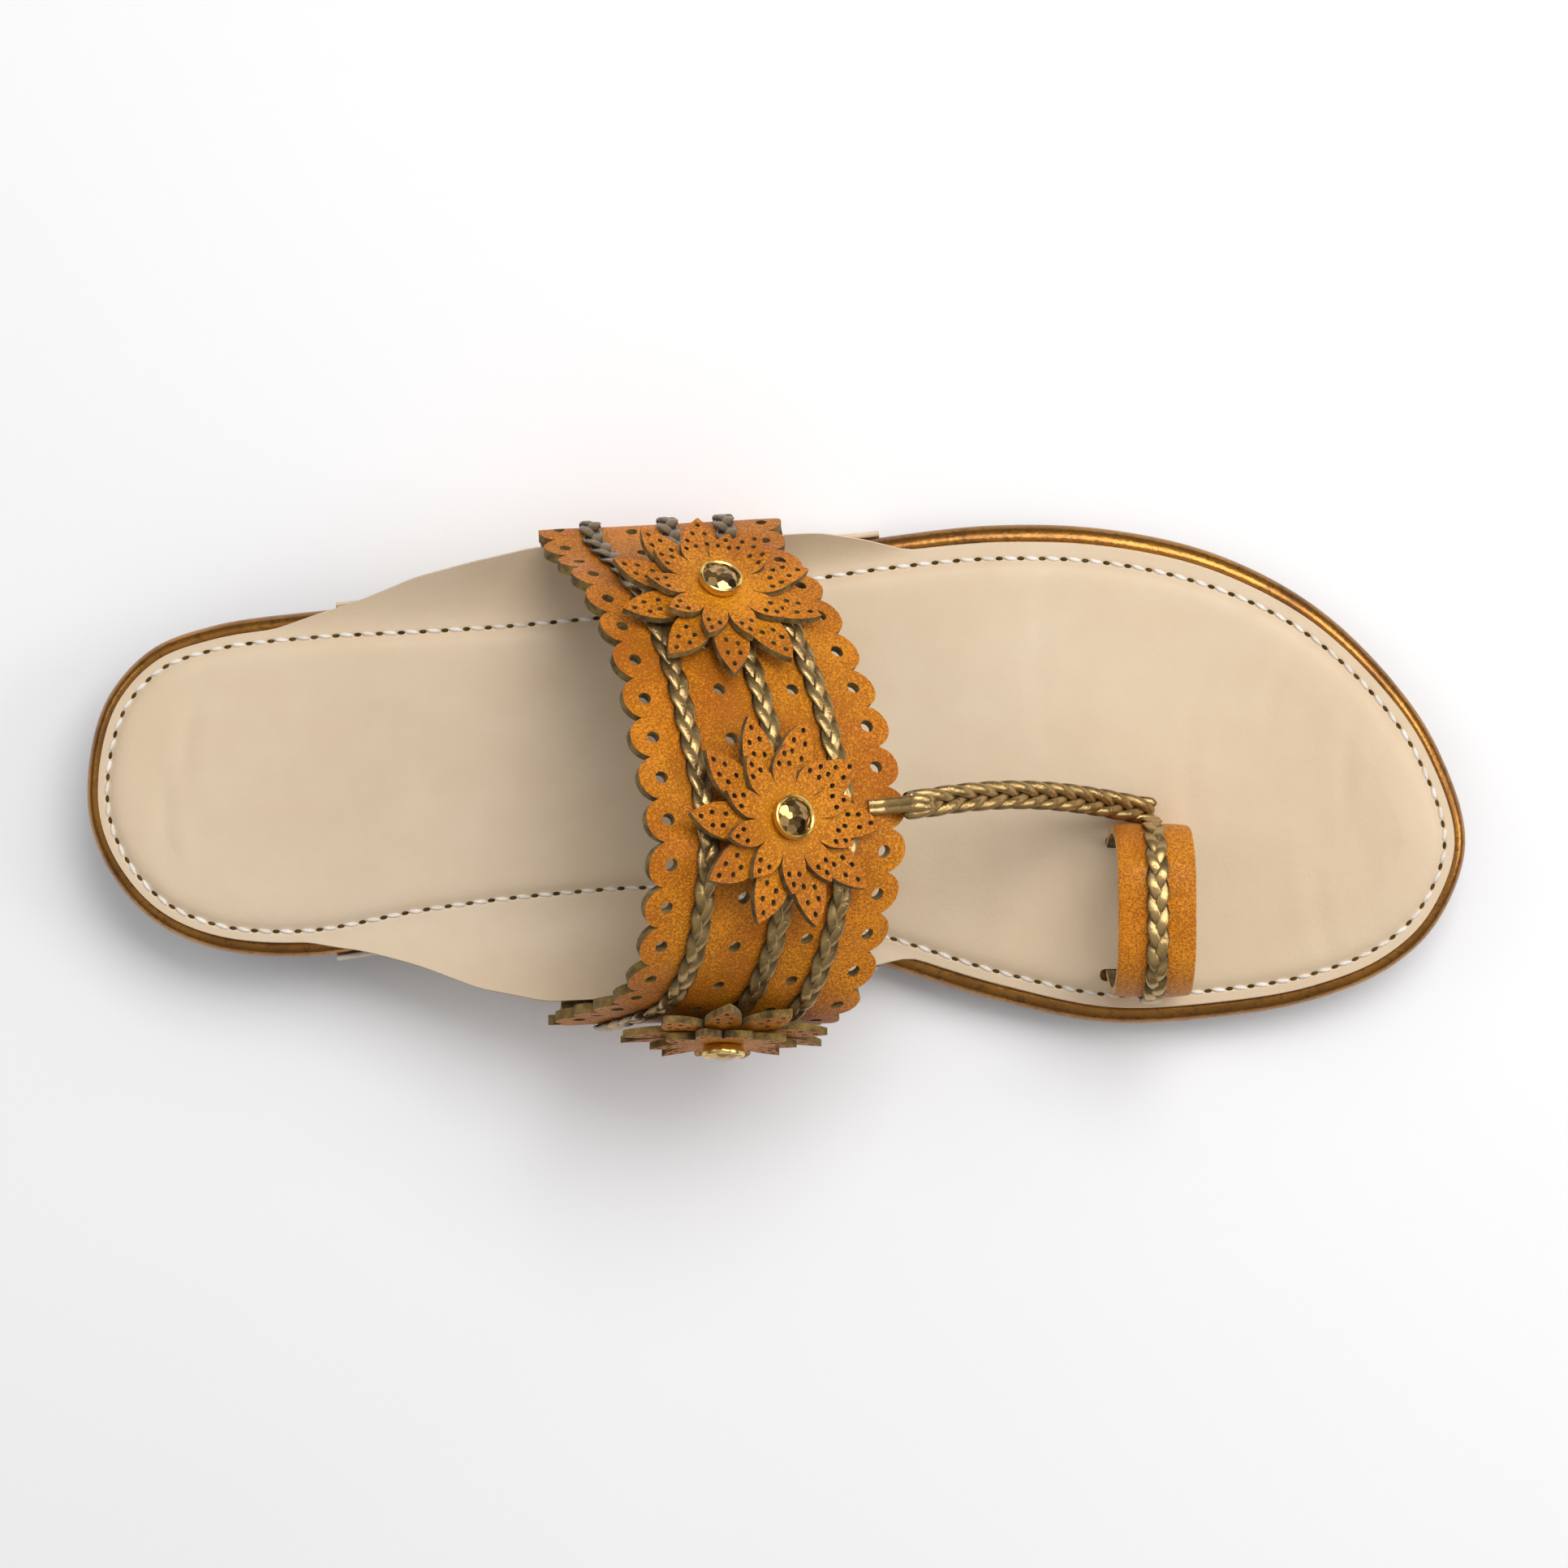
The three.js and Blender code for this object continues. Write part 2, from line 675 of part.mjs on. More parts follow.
// A closed skin over sections of equal length, with a fan over each end.
function skinSections(sections) {
  const count = sections[0].length;
  const faces = [];
  for (let section = 0; section + 1 < sections.length; section++) {
    for (let i = 0; i < count; i++) {
      const j = (i + 1) % count;
      const near = section * count;
      const far = near + count;
      faces.push(near + i, near + j, far + j, near + i, far + j, far + i);
    }
  }
  const last = (sections.length - 1) * count;
  for (let i = 1; i + 1 < count; i++) {
    faces.push(0, i + 1, i, last, last + i, last + i + 1);
  }
  return toSolid(sections.flat(), faces);
}

// A closed skin over sections that go all the way round, as on a washer.
function skinRound(sections) {
  const count = sections[0].length;
  const faces = [];
  sections.forEach((_, section) => {
    const near = section * count;
    const far = ((section + 1) % sections.length) * count;
    for (let i = 0; i < count; i++) {
      const j = (i + 1) % count;
      faces.push(near + i, near + j, far + j, near + i, far + j, far + i);
    }
  });
  return toSolid(sections.flat(), faces);
}

// Shares of a braid's width and thickness: how far its crest and its edges swing out, and
// how high its edges lie and rise by turns.
const swell = { crest: 0.1, edge: 0.09, height: 0.62, rise: 0.24 };

// A braid is one wall whose strips swell by turns at its left and right edges. A round
// braid swells on its back too.
function braidSolid(frameAt, length, { width, thickness, pitch, round = false }) {
  const steps = Math.max(Math.round((2 * length) / pitch), 4);
  const sections = Array.from({ length: steps + 1 }, (_, i) => {
    const { point, across, normal } = frameAt(i / steps);
    const turn = i % 2 === 0 ? 1 : -1;
    const place = (side, high) => {
      const edge = side * (width / 2) * (1 + swell.edge * side * turn);
      const out = side === 0 ? turn * width * swell.crest : edge;
      return point.clone().addScaledVector(across, out).addScaledVector(normal, high);
    };
    const edgeHeight = (side) => thickness * (swell.height + swell.rise * side * turn);
    const face = [place(-1, edgeHeight(-1)), place(0, thickness), place(1, edgeHeight(1))];
    const back = round
      ? [place(1, -edgeHeight(1)), place(0, -thickness), place(-1, -edgeHeight(-1))]
      : [place(1, 0), place(-1, 0)];
    return [...face, ...back];
  });
  return skinSections(sections);
}

const braidLines = [
  { name: "braid_rear", share: 0.215 },
  { name: "braid_middle", share: 0.53 },
  { name: "braid_front", share: 0.76 },
];
const braidGap = 0.42; // the flat rows of the wall stand proud of its true curve
const braidLift = bandThickness / 2 + braidGap;

function makeBraid(share) {
  const margin = bandEnd / bandLength;
  const frameAt = (way) => {
    const round = lerp(margin, 1 - margin, way);
    const frame = bandFrame(round, overFromWidth(round, share));
    return { ...frame, point: frame.point.clone().addScaledVector(frame.normal, braidLift) };
  };
  const length = curveLength((way) => frameAt(way).point, 0, 1);
  return braidSolid(frameAt, length, {
    width: braidWidth,
    thickness: braidThickness,
    pitch: braidPitch,
  });
}

// Flowers

const middleFlowerShare = -0.06; // across the arch, from its middle
const middleShare = 0.52; // of the band's width, where the flowers' centres lie

// Round share of the band's top, where the middle flower sits.
function middleRound() {
  const steps = 400;
  let best = 0;
  for (let i = 0; i <= steps; i++) {
    const gap = Math.abs(bandPoint(i / steps, 0.5).y - middleFlowerShare * archWidth);
    if (gap < Math.abs(bandPoint(best, 0.5).y - middleFlowerShare * archWidth)) best = i / steps;
  }
  return best;
}
function flowerSeat(name, distance) {
  const round = middleRound() + distance / bandLength;
  return { name, seat: bandFrame(round, overFromWidth(round, middleShare)) };
}
const flowerSeats = [
  flowerSeat("outer", -outerFlowerSpacing),
  flowerSeat("middle", 0),
  flowerSeat("inner", innerFlowerSpacing),
];
const flowerLift = braidLift + braidThickness + seamGap;

// Outline of a layer: pointed petals, "valley" is the radius between them as a share.
const valley = 0.62;
function petalRadius(radius, turnShare) {
  const fromTip = Math.abs(turnShare * 2 - 1);
  return radius * lerp(valley, 1, (1 - fromTip) ** 0.7);
}

// One leather layer, dished so that its tips hang along the band, on its shank's hole.
function flowerLayer(radius, lift, droop, turn) {
  const perPetal = 4;
  const count = flowerPetals * perPetal;
  const bore = shankRadius + seamGap;
  const point = (angle, reach, height) => {
    const x = Math.cos(angle) * reach;
    const y = Math.sin(angle) * reach;
    const sag = droop * (x / flowerRadius) ** 2;
    return vec(x, y, lift + height - sag);
  };
  const sections = Array.from({ length: count }, (_, i) => {
    const angle = (i / count) * 2 * Math.PI + turn;
    const tip = petalRadius(radius, (i % perPetal) / perPetal);
    const ends = [bore, tip].map((reach) => point(angle, reach, flowerSheet));
    return [...ends, point(angle, tip, 0), point(angle, bore, 0)];
  });
  return skinRound(sections);
}

function seatMatrix({ point, along, across, normal }) {
  return new THREE.Matrix4().makeBasis(along, across, normal).setPosition(point);
}

function lathed(profile, sides) {
  const geometry = new THREE.LatheGeometry(
    profile.map(([x, y]) => new THREE.Vector2(x, y)),
    sides,
  );
  return fromGeometry(geometry.rotateX(Math.PI / 2));
}

const upperLift = flowerLift + flowerSheet + seamGap;
const bezelLift = upperLift + flowerSheet + seamGap;
const bezelFloor = 0.6;

// Brass cup on a shank that goes down through both leather layers.
function makeBezel() {
  const shankFoot = flowerLift + 0.1;
  const inner = bezelRadius - bezelWall;
  return lathed(
    [
      [0, shankFoot],
      [shankRadius, shankFoot],
      [shankRadius, bezelLift],
      [bezelRadius * 0.94, bezelLift],
      [bezelRadius, bezelLift + bezelHeight],
      [inner, bezelLift + bezelHeight],
      [inner, bezelLift + bezelFloor],
      [0, bezelLift + bezelFloor],
    ],
    12,
  );
}

function makeStone() {
  const radius = bezelRadius - bezelWall - seamGap;
  const foot = bezelLift + bezelFloor + seamGap;
  const girdle = bezelLift + bezelHeight;
  return lathed(
    [
      [0, foot],
      [radius * 0.7, foot],
      [radius, girdle],
      [radius * 0.62, girdle + stoneCrown],
      [0, girdle + stoneCrown],
    ],
    8,
  );
}

// Cord to the toe

// Frame at the band's front edge, where the sleeve takes the cord.
const sleeveRound = middleRound();
const sleeveFrame = (() => {
  const tip = scallopRadius / bandWidthAt(sleeveRound);
  const frame = bandFrame(sleeveRound, 1 + tip);
  const lift = bandThickness / 2 + seamGap;
  return { ...frame, point: frame.point.clone().addScaledVector(frame.normal, lift) };
})();
const sleeveRoom = cordThickness + 2 * seamGap;

// Tongue that is sewn on the band's edge and ends in a sleeve for the cord.
function makeToeLoop() {
  const innerWidth = cordWidth * 1.09 + 2 * seamGap;
  const outerHeight = sleeveRoom + 2 * loopSheet;
  const block = (width, depth, height, y, z) =>
    boxSolid(width, depth, height, vec(0, y + depth / 2, z + height / 2));
  const tongue = block(innerWidth, loopTongue, loopSheet, -loopTongue, 0);
  const outer = block(innerWidth + 2 * loopSheet, loopSleeve, outerHeight, -loopSleeve, 0);
  const hollow = block(innerWidth, loopSleeve * 3, sleeveRoom, -loopSleeve * 2, loopSheet);
  return outer.subtract(hollow).add(tongue).transform(seatMatrix(sleeveFrame).elements);
}

const cordEnd = vec(
  ringAlong + cordPast,
  ringAcross + ringSpan / 2 + cordWidth * cordSide,
  bedAt(xToAlong(ringAlong)) + insoleThickness + cushionRise + cordRest + cordThickness / 2,
);

function cordFrames() {
  const { point, across, normal } = sleeveFrame;
  const middle = loopSheet + sleeveRoom / 2;
  const inside = loopSleeve * 0.8;
  const start = point.clone().addScaledVector(across, -inside).addScaledVector(normal, middle);
  const mouth = start.clone().addScaledVector(across, loopSleeve);
  const route = cordRoute.map(({ along, across: side, drop }) =>
    vec(
      lerp(mouth.x, cordEnd.x, along),
      lerp(mouth.y, cordEnd.y, side) + cordBow * Math.sin(Math.PI * along),
      lerp(mouth.z, cordEnd.z, drop),
    ),
  );
  const way = [start, ...route];
  const curve = new THREE.CatmullRomCurve3(way, false, "centripetal");
  const frameAt = (share) => {
    const place = curve.getPointAt(share);
    const tangent = curve.getTangentAt(share);
    const side = tangent.clone().cross(up).normalize();
    return { point: place, across: side, normal: side.clone().cross(tangent).normalize() };
  };
  return { frameAt, length: curve.getLength() };
}

function makeToeCord() {
  const { frameAt, length } = cordFrames();
  return braidSolid(frameAt, length, {
    width: cordWidth,
    thickness: cordThickness / 2,
    pitch: cordPitch,
    round: true,
  });
}

// Toe ring

const ringFloor = bedAt(xToAlong(ringAlong)) + insoleThickness + cushionRise;
const ringFoot = bedAt(xToAlong(ringAlong)) + seamGap;

const ringCurve = (() => {
  const half = ringSpan / 2 - ringThickness / 2;
  const place = (side) => ({ out, up: rise }) =>
    vec(ringAlong, ringAcross + side * half * out, ringFloor + rise * (ringHeight - ringThickness / 2));
  const foot = (side) =>
    vec(ringAlong, ringAcross + side * half * ringSections[0].out, ringFoot);
  return new THREE.CatmullRomCurve3(
    [
      foot(1),
      ...ringSections.map(place(1)),
      ...ringSections.slice(0, -1).reverse().map(place(-1)),
      foot(-1),
    ],
    false,
    "centripetal",
  );
})();

function ringFrame(share) {
  const point = ringCurve.getPointAt(share);
  const tangent = ringCurve.getTangentAt(share);
  const across = vec(1, 0, 0);
  return { point, across, normal: tangent.clone().cross(across).normalize() };
}

function ringSheet(extra = 0) {
  const steps = 26;
  const half = ringWidth / 2 + extra / 2;
  const rows = Array.from({ length: steps + 1 }, (_, i) => {
    const { point, across, normal } = ringFrame(i / steps);
    return [-half, half].map((move) => ({
      point: point.clone().addScaledVector(across, move),
      normal,
    }));
  });
  return thickSheet(rows, ringThickness + extra);
}

function makeRingBraid() {
  const ends = 0.13;
  const lift = ringThickness / 2 + seamGap;
  const frameAt = (way) => {
    const { point, across, normal } = ringFrame(lerp(ends, 1 - ends, way));
    return { point: point.clone().addScaledVector(normal, lift), across, normal };
  };
  return braidSolid(frameAt, ringCurve.getLength() * (1 - 2 * ends), {
    width: braidWidth,
    thickness: braidThickness,
    pitch: braidPitch,
  });
}

// Materials

const paint = (color, roughness, metalness = 0) =>
  new THREE.MeshStandardMaterial({ color, roughness, metalness });
const rubber = paint(0x3a2c22, 0.85);
const bronze = paint(0x93704a, 0.4, 0.6);
const beige = paint(0xdcc8ad, 0.6);
const tan = paint(0xc87f2c, 0.55);
const braidFoil = paint(0xa8895c, 0.35, 0.7);
const brass = paint(0xb9975a, 0.25, 1);
const smoke = paint(0x6f6253, 0.05);

// Assembly

const sandal = new THREE.Group();
const place = (name, solid, material) => sandal.add(toMesh(name, solid, material));

const clearance = 2 * seamGap;
const bandRoom = bandSheet(clearance);
const wingRooms = ["outer", "inner"].map((side) => makeWing(side, clearance));

place("heel", makeHeel(), rubber);
place("outsole", makeOutsole().subtract(bandRoom), rubber);
place(
  "midsole",
  wasm.Manifold.difference([makeMidsole(), bandRoom, ...wingRooms]),
  bronze,
);
place("insole", makeInsole().subtract(ringSheet(2 * slotClearance)), beige);
place("wing_outer", makeWing("outer").subtract(bandRoom), beige);
place("wing_inner", makeWing("inner").subtract(bandRoom), beige);
place("upper", makeUpper(), tan);
for (const { name, share } of braidLines) place(name, makeBraid(share), braidFoil);

const petalTurn = Math.PI / flowerPetals;
for (const { name, seat } of flowerSeats) {
  const matrix = seatMatrix(seat).elements;
  const lower = flowerLayer(flowerRadius, flowerLift, flowerDroop, petalTurn);
  const top = flowerLayer(flowerRadius * upperFlowerScale, upperLift, flowerDroop, 0);
  place(`flower_lower_${name}`, lower.transform(matrix), tan);
  place(`flower_upper_${name}`, top.transform(matrix), tan);
  place(`bezel_${name}`, makeBezel().transform(matrix), brass);
  place(`stone_${name}`, makeStone().transform(matrix), smoke);
}

place("toe_loop", makeToeLoop(), braidFoil);
place("toe_cord", makeToeCord(), braidFoil);
place("toe_ring", ringSheet(), tan);
place("ring_braid", makeRingBraid(), braidFoil);

export default sandal;
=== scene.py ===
# %% [markdown]
# # A left sandal with a flower-trimmed band
#
# The shoe is a flat leather sandal. A rubber sole carries a bronze-wrapped midsole and a
# padded beige insole, and a wide tan band with scalloped edges goes over the instep.
# Three flat braids and three leather flowers lie on the band, and a braided cord leads
# forward to a ring for the big toe. Every piece is made in millimetres from a few short
# tables and only scaled to metres when it is finished, because a maker's numbers are
# easier to read than fractions of a metre.

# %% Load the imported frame
import math

import bmesh
import bpy
import numpy as np
from mathutils import Matrix, Vector


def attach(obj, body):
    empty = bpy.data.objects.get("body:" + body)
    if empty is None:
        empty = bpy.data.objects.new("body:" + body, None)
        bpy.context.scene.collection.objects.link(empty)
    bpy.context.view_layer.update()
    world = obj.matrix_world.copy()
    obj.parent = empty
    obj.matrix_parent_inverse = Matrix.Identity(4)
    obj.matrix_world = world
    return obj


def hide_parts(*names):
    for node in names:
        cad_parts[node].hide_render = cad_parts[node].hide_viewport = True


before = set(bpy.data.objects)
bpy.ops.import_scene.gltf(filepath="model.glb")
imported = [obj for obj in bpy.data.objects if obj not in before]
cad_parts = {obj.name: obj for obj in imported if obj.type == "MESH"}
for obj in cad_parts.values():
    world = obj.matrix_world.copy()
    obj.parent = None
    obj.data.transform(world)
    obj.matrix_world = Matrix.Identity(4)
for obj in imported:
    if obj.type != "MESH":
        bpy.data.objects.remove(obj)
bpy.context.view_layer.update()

MM = 0.001
print("nodes:", len(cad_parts))

# %% [markdown]
# ## Camera
#
# The view is from straight above, with the toe to the right. A long lens from about
# 65 cm keeps the high instep only a little larger than the sole.

# %% Camera
eye = bpy.data.cameras.new("camera")
eye.lens = 80.5
eye.sensor_width = 36
eye.clip_start = 0.01
camera = bpy.data.objects.new("camera", eye)
camera.location = (0.001, 0.0, 0.650)
bpy.context.scene.collection.objects.link(camera)
bpy.context.scene.camera = camera
bpy.context.scene.view_settings.view_transform = "Standard"
print("camera height:", camera.location.z)


# %% Colours and plain node helpers
def tone(red, green, blue):
    """A screen colour, 0 to 255, as the linear colour that a shader takes."""
    shares = [value / 255 for value in (red, green, blue)]
    linear = [c / 12.92 if c <= 0.04045 else ((c + 0.055) / 1.055) ** 2.4 for c in shares]
    return (*linear, 1.0)


def add_node(tree, kind, inputs=None, **settings):
    """A new node with its settings and inputs. An input is a plain value or a socket."""
    node = tree.nodes.new(kind)
    for key, value in settings.items():
        setattr(node, key, value)
    for key, value in (inputs or {}).items():
        if isinstance(value, bpy.types.NodeSocket):
            tree.links.new(value, node.inputs[key])
        else:
            node.inputs[key].default_value = value
    return node


def mixed(tree, factor, first, second):
    """Two colours mixed by a factor. A colour is a socket or four plain numbers."""
    inputs = {0: factor, 6: first, 7: second}
    return add_node(tree, "ShaderNodeMix", inputs, data_type="RGBA").outputs[2]


def ranged(tree, value, low, high, to_low=0.0, to_high=1.0):
    """A value moved from one range to another and held inside it."""
    limits = {"From Min": low, "From Max": high, "To Min": to_low, "To Max": to_high}
    return add_node(tree, "ShaderNodeMapRange", {"Value": value, **limits}).outputs["Result"]


def worked_out(tree, operation, first, second):
    """One sum on two values, each a socket or a number."""
    return add_node(tree, "ShaderNodeMath", {0: first, 1: second}, operation=operation).outputs[0]


# %% [markdown]
# ## Shared surface effects
#
# Real leather is never one flat colour. Three effects come back in most finishes here:
# the fine grain of the skin, a cloudy unevenness in the dye, and the dark crackle that
# burnishing leaves on tan leather. Each is built once as a node group that puts out only
# masks and heights, and each finish uses it with its own scale.


# %% Group maker
def new_group(name, values, outputs):
    """A shader group that takes a vector and some values, with its two end nodes."""
    group = bpy.data.node_groups.new(name, "ShaderNodeTree")
    group.interface.new_socket("Vector", in_out="INPUT", socket_type="NodeSocketVector")
    for label, value in values.items():
        socket = group.interface.new_socket(label, in_out="INPUT", socket_type="NodeSocketFloat")
        socket.default_value = value
    for label in outputs:
        group.interface.new_socket(label, in_out="OUTPUT", socket_type="NodeSocketFloat")
    return group, group.nodes.new("NodeGroupInput").outputs, group.nodes.new("NodeGroupOutput")


def scaled_noise(group, given, **inputs):
    """Noise at the group's own place and scale."""
    place = {"Vector": given["Vector"], "Scale": given["Scale"]}
    return add_node(group, "ShaderNodeTexNoise", {**place, **inputs}).outputs[0]


# %% Grain of the skin
def make_grain_group():
    """Fine rounded cells broken up by noise."""
    group, given, end = new_group("skin_grain", {"Scale": 1400.0}, ["Height"])
    place = {"Vector": given["Vector"], "Scale": given["Scale"]}
    cells = add_node(group, "ShaderNodeTexVoronoi", place, feature="SMOOTH_F1")
    dust = scaled_noise(group, given, Detail=3.0, Roughness=0.6)
    height = worked_out(group, "ADD", cells.outputs[0], dust)
    group.links.new(height, end.inputs["Height"])
    return group


# %% Cloudy dye
def make_mottle_group():
    """A soft cloud mask from large to small, for uneven dye and handling marks."""
    group, given, end = new_group("cloudy_dye", {"Scale": 40.0}, ["Mask"])
    cloud = scaled_noise(group, given, Detail=4.0, Roughness=0.55)
    group.links.new(ranged(group, cloud, 0.34, 0.66), end.inputs["Mask"])
    return group


# %% Burnished crackle
def make_crackle_group():
    """Short dark flecks that gather in patches, as on burnished tan leather."""
    values = {"Scale": 1900.0, "Cover": 0.0}
    group, given, end = new_group("burnished_crackle", values, ["Mask", "Height"])
    flecks = scaled_noise(group, given, Detail=2.5, Roughness=0.62, Distortion=0.6)
    wide = {"Vector": given["Vector"], "Scale": 75.0, "Detail": 2.0}
    patches = add_node(group, "ShaderNodeTexNoise", wide).outputs[0]
    spread = ranged(group, patches, 0.3, 0.7, -0.07, 0.07)
    value = worked_out(group, "ADD", flecks, spread)
    value = worked_out(group, "ADD", value, given["Cover"])
    group.links.new(ranged(group, value, 0.47, 0.6), end.inputs["Mask"])
    group.links.new(ranged(group, value, 0.4, 0.65, 1.0, 0.0), end.inputs["Height"])
    return group


grain_group = make_grain_group()
mottle_group = make_mottle_group()
crackle_group = make_crackle_group()
print("groups:", [group.name for group in bpy.data.node_groups])


# %% [markdown]
# ## Finishes
#
# Each finish starts from one Principled shader with its plain values set on the shader
# itself. Colour, roughness and relief then come from the shared groups, read in Object
# coordinates, so a pattern keeps one true size on every piece.


# %% Finish maker
class Finish:
    """A material with its shader, its tree and its place in Object coordinates."""

    def __init__(self, name, **plain):
        self.material = bpy.data.materials.new(name)
        self.material.use_nodes = True
        self.tree = self.material.node_tree
        self.shader = self.tree.nodes["Principled BSDF"]
        for key, value in plain.items():
            self.shader.inputs[key.replace("_", " ")].default_value = value
        self.place = add_node(self.tree, "ShaderNodeTexCoord").outputs["Object"]

    def use(self, group, **plain):
        """What a shared group puts out in this material, with its own values."""
        inputs = {"Vector": self.place, **plain}
        return add_node(self.tree, "ShaderNodeGroup", inputs, node_tree=group).outputs

    def attribute(self, name):
        return add_node(self.tree, "ShaderNodeAttribute", attribute_name=name).outputs["Fac"]

    def colour(self, mask, first, second):
        """Shows two colours mixed by a mask, and gives the mix for a layer over it."""
        mix = mixed(self.tree, mask, first, second)
        self.tree.links.new(mix, self.shader.inputs["Base Color"])
        return mix

    def stain(self, base, mask, share, stain):
        """Lays a share of a stain over a base colour where a mask is high."""
        self.colour(worked_out(self.tree, "MULTIPLY", mask, share), base, stain)

    def rough(self, mask, low, high):
        value = ranged(self.tree, mask, 0.0, 1.0, low, high)
        self.tree.links.new(value, self.shader.inputs["Roughness"])

    def relief(self, height, depth, over=None):
        """A bump of a depth in millimetres, laid over an earlier one if there is one."""
        inputs = {"Height": height, "Strength": 1.0, "Distance": depth * MM}
        if over is not None:
            inputs["Normal"] = over
        normal = add_node(self.tree, "ShaderNodeBump", inputs).outputs["Normal"]
        self.tree.links.new(normal, self.shader.inputs["Normal"])
        return normal


# %% Tan leather of the band and the toe ring
def make_tan(name, light, deep, fleck, cover):
    """Burnished tan leather: two oranges in clouds under dark flecks."""
    finish = Finish(name, Specular_IOR_Level=0.3, Coat_Weight=0.08, Coat_Roughness=0.3)
    clouds = finish.use(mottle_group, Scale=55.0)
    flecks = finish.use(crackle_group, Scale=2500.0, Cover=cover)
    grain = finish.use(grain_group, Scale=1500.0)
    base = finish.colour(clouds["Mask"], light, deep)
    finish.stain(base, flecks["Mask"], 0.6, fleck)
    finish.rough(flecks["Mask"], 0.42, 0.62)
    fine = finish.relief(grain["Height"], 0.05)
    finish.relief(flecks["Height"], 0.16, over=fine)
    return finish


tan_leather = make_tan(
    "tan_leather_burnished", tone(234, 150, 14), tone(216, 124, 4), tone(138, 58, 4), 0.03
)
tan_ring = make_tan(
    "tan_leather_smooth", tone(236, 152, 22), tone(220, 130, 8), tone(146, 66, 6), 0.02
)


# %% Tan leather of the flowers
def make_petal():
    """The flowers are yellower in their middle and browner out at the petals' tips."""
    plain = {"Specular_IOR_Level": 0.3, "Coat_Weight": 0.06, "Coat_Roughness": 0.35}
    finish = Finish("tan_leather_petals", **plain)
    reach = finish.attribute("reach")
    flecks = finish.use(crackle_group, Scale=2300.0, Cover=0.03)
    grain = finish.use(grain_group, Scale=1500.0)
    spread = ranged(finish.tree, reach, 0.25, 0.9)
    base = finish.colour(spread, tone(240, 156, 6), tone(222, 132, 10))
    hide = ranged(finish.tree, reach, 0.1, 0.55, 0.26, 0.62)
    finish.stain(base, flecks["Mask"], hide, tone(130, 54, 4))
    finish.rough(flecks["Mask"], 0.44, 0.64)
    fine = finish.relief(grain["Height"], 0.05)
    finish.relief(flecks["Height"], 0.15, over=fine)
    return finish


petal_leather = make_petal()


# %% Beige coated lining of the insole
def make_lining():
    """Smooth coated lining: warm clouds, a very fine grain and a low sheen."""
    plain = {"Specular_IOR_Level": 0.35, "Coat_Weight": 0.12, "Coat_Roughness": 0.32}
    finish = Finish("beige_lining", **plain)
    wide = finish.use(mottle_group, Scale=16.0)
    small = finish.use(mottle_group, Scale=120.0)
    grain = finish.use(grain_group, Scale=1700.0)
    base = finish.colour(wide["Mask"], tone(229, 208, 179), tone(224, 200, 168))
    finish.stain(base, small["Mask"], 0.16, tone(212, 178, 146))
    finish.rough(small["Mask"], 0.5, 0.6)
    soft = finish.relief(small["Mask"], 0.06)
    finish.relief(grain["Height"], 0.02, over=soft)
    return finish


lining = make_lining()


# %% Bronze metallic leather of the wrapped edge
def make_bronze():
    """Leather with a thin bronze film: fine grain, darker clouds and small scuffs."""
    finish = Finish("bronze_leather", Metallic=0.82, Coat_Weight=0.25, Coat_Roughness=0.2)
    clouds = finish.use(mottle_group, Scale=70.0)
    scuffs = finish.use(crackle_group, Scale=900.0, Cover=-0.07)
    grain = finish.use(grain_group, Scale=1300.0)
    base = finish.colour(clouds["Mask"], tone(176, 120, 46), tone(136, 88, 30))
    finish.stain(base, scuffs["Mask"], 0.5, tone(78, 54, 30))
    finish.rough(clouds["Mask"], 0.2, 0.32)
    finish.relief(grain["Height"], 0.035)
    return finish


bronze = make_bronze()


# %% Antique gold foil of the braids
def make_foil(name, bright, dark):
    """Foil leather strips: bright where they ride high, dark patina where they dip, painted shade
    towards the outer side.
    """
    finish = Finish(name, Metallic=0.85, Coat_Weight=0.2, Coat_Roughness=0.2)
    creases = finish.use(crackle_group, Scale=520.0, Cover=-0.05)
    clouds = finish.use(mottle_group, Scale=500.0)
    base = finish.colour(finish.attribute("patina"), bright, dark)
    finish.stain(base, creases["Mask"], 0.25, dark)
    finish.rough(clouds["Mask"], 0.24, 0.36)
    finish.relief(creases["Height"], 0.05)
    return finish


braid_foil = make_foil("foil_braid_gold", tone(182, 150, 96), tone(46, 31, 12))
cord_foil = make_foil("foil_cord_bronze", tone(178, 146, 92), tone(50, 34, 14))


# %% Smoky stone
def make_stone_finish():
    """Smoky champagne glass on foil: each facet has its own painted brightness, a painted
    reflection.
    """
    plain = {"Metallic": 0.85, "Roughness": 0.06, "Coat_Weight": 0.3, "Coat_Roughness": 0.03}
    finish = Finish("smoke_stone", **plain)
    clouds = finish.use(mottle_group, Scale=700.0)
    base = finish.colour(finish.attribute("facet_glint"), tone(40, 24, 10), tone(216, 172, 108))
    finish.stain(base, clouds["Mask"], 0.3, tone(120, 78, 30))
    return finish


smoke_stone = make_stone_finish()


# %% Simple finishes: flesh side, rubber, brass, thread, painted hole shade, cut edges and floor
def two_tone(name, scale, first, second, rough=None, grain=None, **plain):
    """Two tones in clouds, with a range of roughness and a grain where they are given."""
    finish = Finish(name, **plain)
    clouds = finish.use(mottle_group, Scale=scale)
    finish.colour(clouds["Mask"], first, second)
    if rough:
        finish.rough(clouds["Mask"], *rough)
    if grain:
        grain_scale, depth = grain
        finish.relief(finish.use(grain_group, Scale=grain_scale)["Height"], depth)
    return finish


